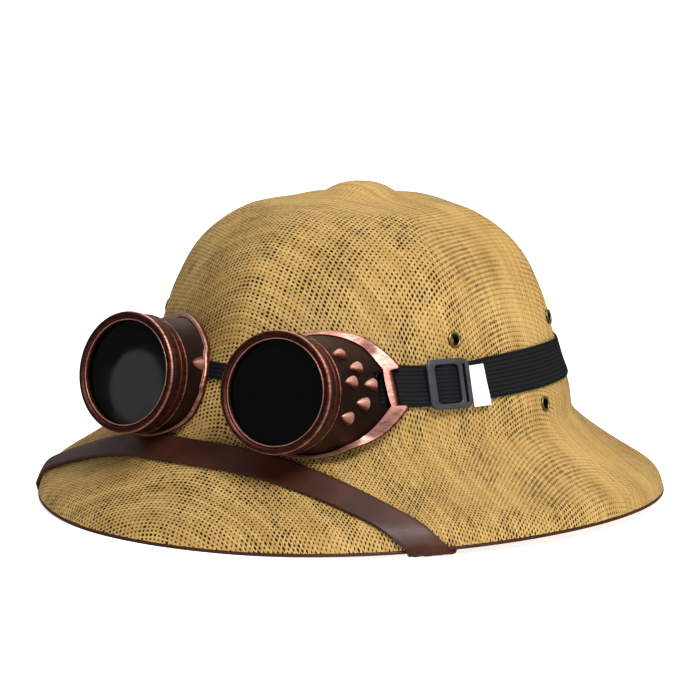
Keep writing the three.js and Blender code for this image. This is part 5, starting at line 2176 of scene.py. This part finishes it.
@dataclass
class Studio:
    """Plain floor, soft light and the camera at the photograph's angle."""

    azimuth: float = math.radians(33.0)
    elevation: float = math.radians(9.1)
    roll: float = math.radians(1.35)
    distance: float = 2300.0
    target: tuple[float, float, float] = (0.0, 0.0, 75.0)
    focal_pixels: float = 4772.0
    aim: tuple[float, float] = (357.4, 339.8)
    pixels: float = 700.0
    sensor: float = 36.0
    lamp_distance: float = 1.7
    lamp_aim: float = 0.08
    floor_reach: float = 6.0
    floor_glow: float = 0.8
    surroundings: float = 0.2
    lamps: tuple[Lamp, ...] = (
        Lamp("key", 60, 48, 0.7, 30),
        Lamp("top", 100, 78, 1.0, 6),
        Lamp("back", 215, 48, 1.0, 10),
        Lamp("window", -43.4, 5.0, 0.12, 0.07),
    )

    def camera(self) -> None:
        """Makes the camera and sets it as the scene's."""
        data = bpy.data.cameras.new("camera")
        data.sensor_width, data.lens = self.sensor, self.focal_pixels * self.sensor / self.pixels
        data.shift_x = -(self.aim[0] - self.pixels / 2) / self.pixels
        data.shift_y = (self.aim[1] - self.pixels / 2) / self.pixels
        data.clip_start, data.clip_end = 0.1, 20.0
        back = self.towards(self.azimuth, self.elevation)
        right = Vector((math.cos(self.azimuth), math.sin(self.azimuth), 0.0))
        up = back.cross(right)
        turned_right = right * math.cos(self.roll) + up * math.sin(self.roll)
        turned_up = up * math.cos(self.roll) - right * math.sin(self.roll)
        place = Vector(self.target) * MM + back * self.distance * MM
        camera = put_in_scene("camera", data)
        camera.matrix_world = seat_matrix(turned_right, turned_up, back, place)
        bpy.context.scene.camera = camera

    def towards(self, azimuth: float, elevation: float) -> Vector:
        """Direction from the hat to a place round it."""
        flat = math.cos(elevation)
        return Vector((math.sin(azimuth) * flat, -math.cos(azimuth) * flat, math.sin(elevation)))

    def light(self, lamp: Lamp) -> None:
        """Sets up a lamp that looks at the hat.

        Args:
            lamp: The lamp.
        """
        data = bpy.data.lights.new(lamp.name, "AREA")
        data.shape, data.size, data.energy = "DISK", lamp.size, lamp.power
        back = self.towards(math.radians(lamp.azimuth), math.radians(lamp.elevation))
        made = put_in_scene(lamp.name, data)
        made.location = Vector((0, 0, self.lamp_aim)) + back * self.lamp_distance
        made.rotation_mode = "QUATERNION"
        made.rotation_quaternion = back.to_track_quat("Z", "Y")

    def floor(self) -> None:
        """Makes the pale floor, which glows a little and shows in no reflection."""
        mesh = bpy.data.meshes.new("floor")
        reach = self.floor_reach
        corners = [(-reach, -reach, 0), (reach, -reach, 0), (reach, reach, 0), (-reach, reach, 0)]
        mesh.from_pydata(corners, [], [(0, 1, 2, 3)])
        ground = put_in_scene("floor", mesh)
        s = Shading("pale_floor", Roughness=0.9, Specular_IOR_Level=0.1)
        soft = s.noise(s.place(), 3.0)
        s.set(Base_Color=s.blend(soft, (0.93, 0.93, 0.93, 1), (0.96, 0.96, 0.96, 1)))
        s.shader.inputs["Emission Color"].default_value = (1, 1, 1, 1)
        s.shader.inputs["Emission Strength"].default_value = self.floor_glow
        mesh.materials.append(s.material)
        ground.visible_glossy = False

    def set_up(self) -> None:
        """Makes the camera, the floor, the lamps and the surroundings."""
        self.camera()
        self.floor()
        for lamp in self.lamps:
            self.light(lamp)
        world = bpy.data.worlds.new("surroundings")
        world.use_nodes = True
        shade = world.node_tree.nodes["Background"]
        shade.inputs["Color"].default_value = (1.0, 1.0, 1.0, 1.0)
        shade.inputs["Strength"].default_value = self.surroundings
        bpy.context.scene.world = world
        bpy.context.scene.view_settings.view_transform = "Standard"


def main() -> None:
    """Builds every piece round the frame."""
    logging.basicConfig(level=logging.INFO, format="%(name)s: %(message)s")
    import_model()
    Studio().set_up()
    straw, leather = StrawFinish().make(), LeatherFinish().make()
    copper, brass, glass = CopperFinish().make(), BrassFinish().make(), LensFinish().make()
    elastic, plastic, tape = ElasticFinish().make(), PlasticFinish().make(), TapeFinish().make()
    form = HatForm()
    eyelets = Eyelets(form)
    every = eyelets.crown_places + eyelets.low_places
    shell = StrawShell(form)
    dress(shell.build(eyelets.holes(every)), straw, "straw", ROOT, "straw_shell")
    dress(shell.binding(), leather, "leather", ROOT, "brim_binding")
    chin = ChinStrap(form)
    dress(chin.build(eyelets.holes(eyelets.low_places)), leather, "leather", ROOT, "chin_strap")
    for name, places, grip, words in (
        ("eyelets_crown", eyelets.crown_places, eyelets.crown_grip, ("front", "rear")),
        ("eyelets_low", eyelets.low_places, eyelets.low_grip, ("low",)),
    ):
        made = set_on_points(name, eyelets.model(grip), eyelets.seats(places), brass)
        dress(made, brass, "brass", ROOT, *(f"eyelet_{s.word}_{w}" for s in Side for w in words))
    for side in Side:
        shape = GoggleForm(form, side)
        goggle = Goggle(shape)
        word = side.word
        dress(goggle.cup(), copper, "copper", ROOT, f"goggle_cup_{word}")
        vents = set_on_points(f"vents_{word}", goggle.vent_model(), goggle.vent_seats(), copper)
        dress(vents, copper, "copper", ROOT)
        dress(goggle.ring(), copper, "copper", f"lens_ring_{word}", f"lens_ring_{word}")
        dress(goggle.lens(), glass, "lens", ROOT, f"lens_{word}")
    strap = ElasticStrap(GoggleForm(form, Side.LEFT))
    for side in Side:
        dress(strap.post(side), copper, "copper", ROOT, f"strap_post_{side.word}")
    dress(strap.strap(), elastic, "elastic", ROOT, "elastic_strap")
    dress(strap.nose_band(), elastic, "elastic", ROOT, "nose_band")
    dress(strap.label(), tape, "label", ROOT, "strap_label")
    dress(strap.slider(), plastic, "plastic", ROOT, "strap_slider")


if __name__ == "__main__":
    main()
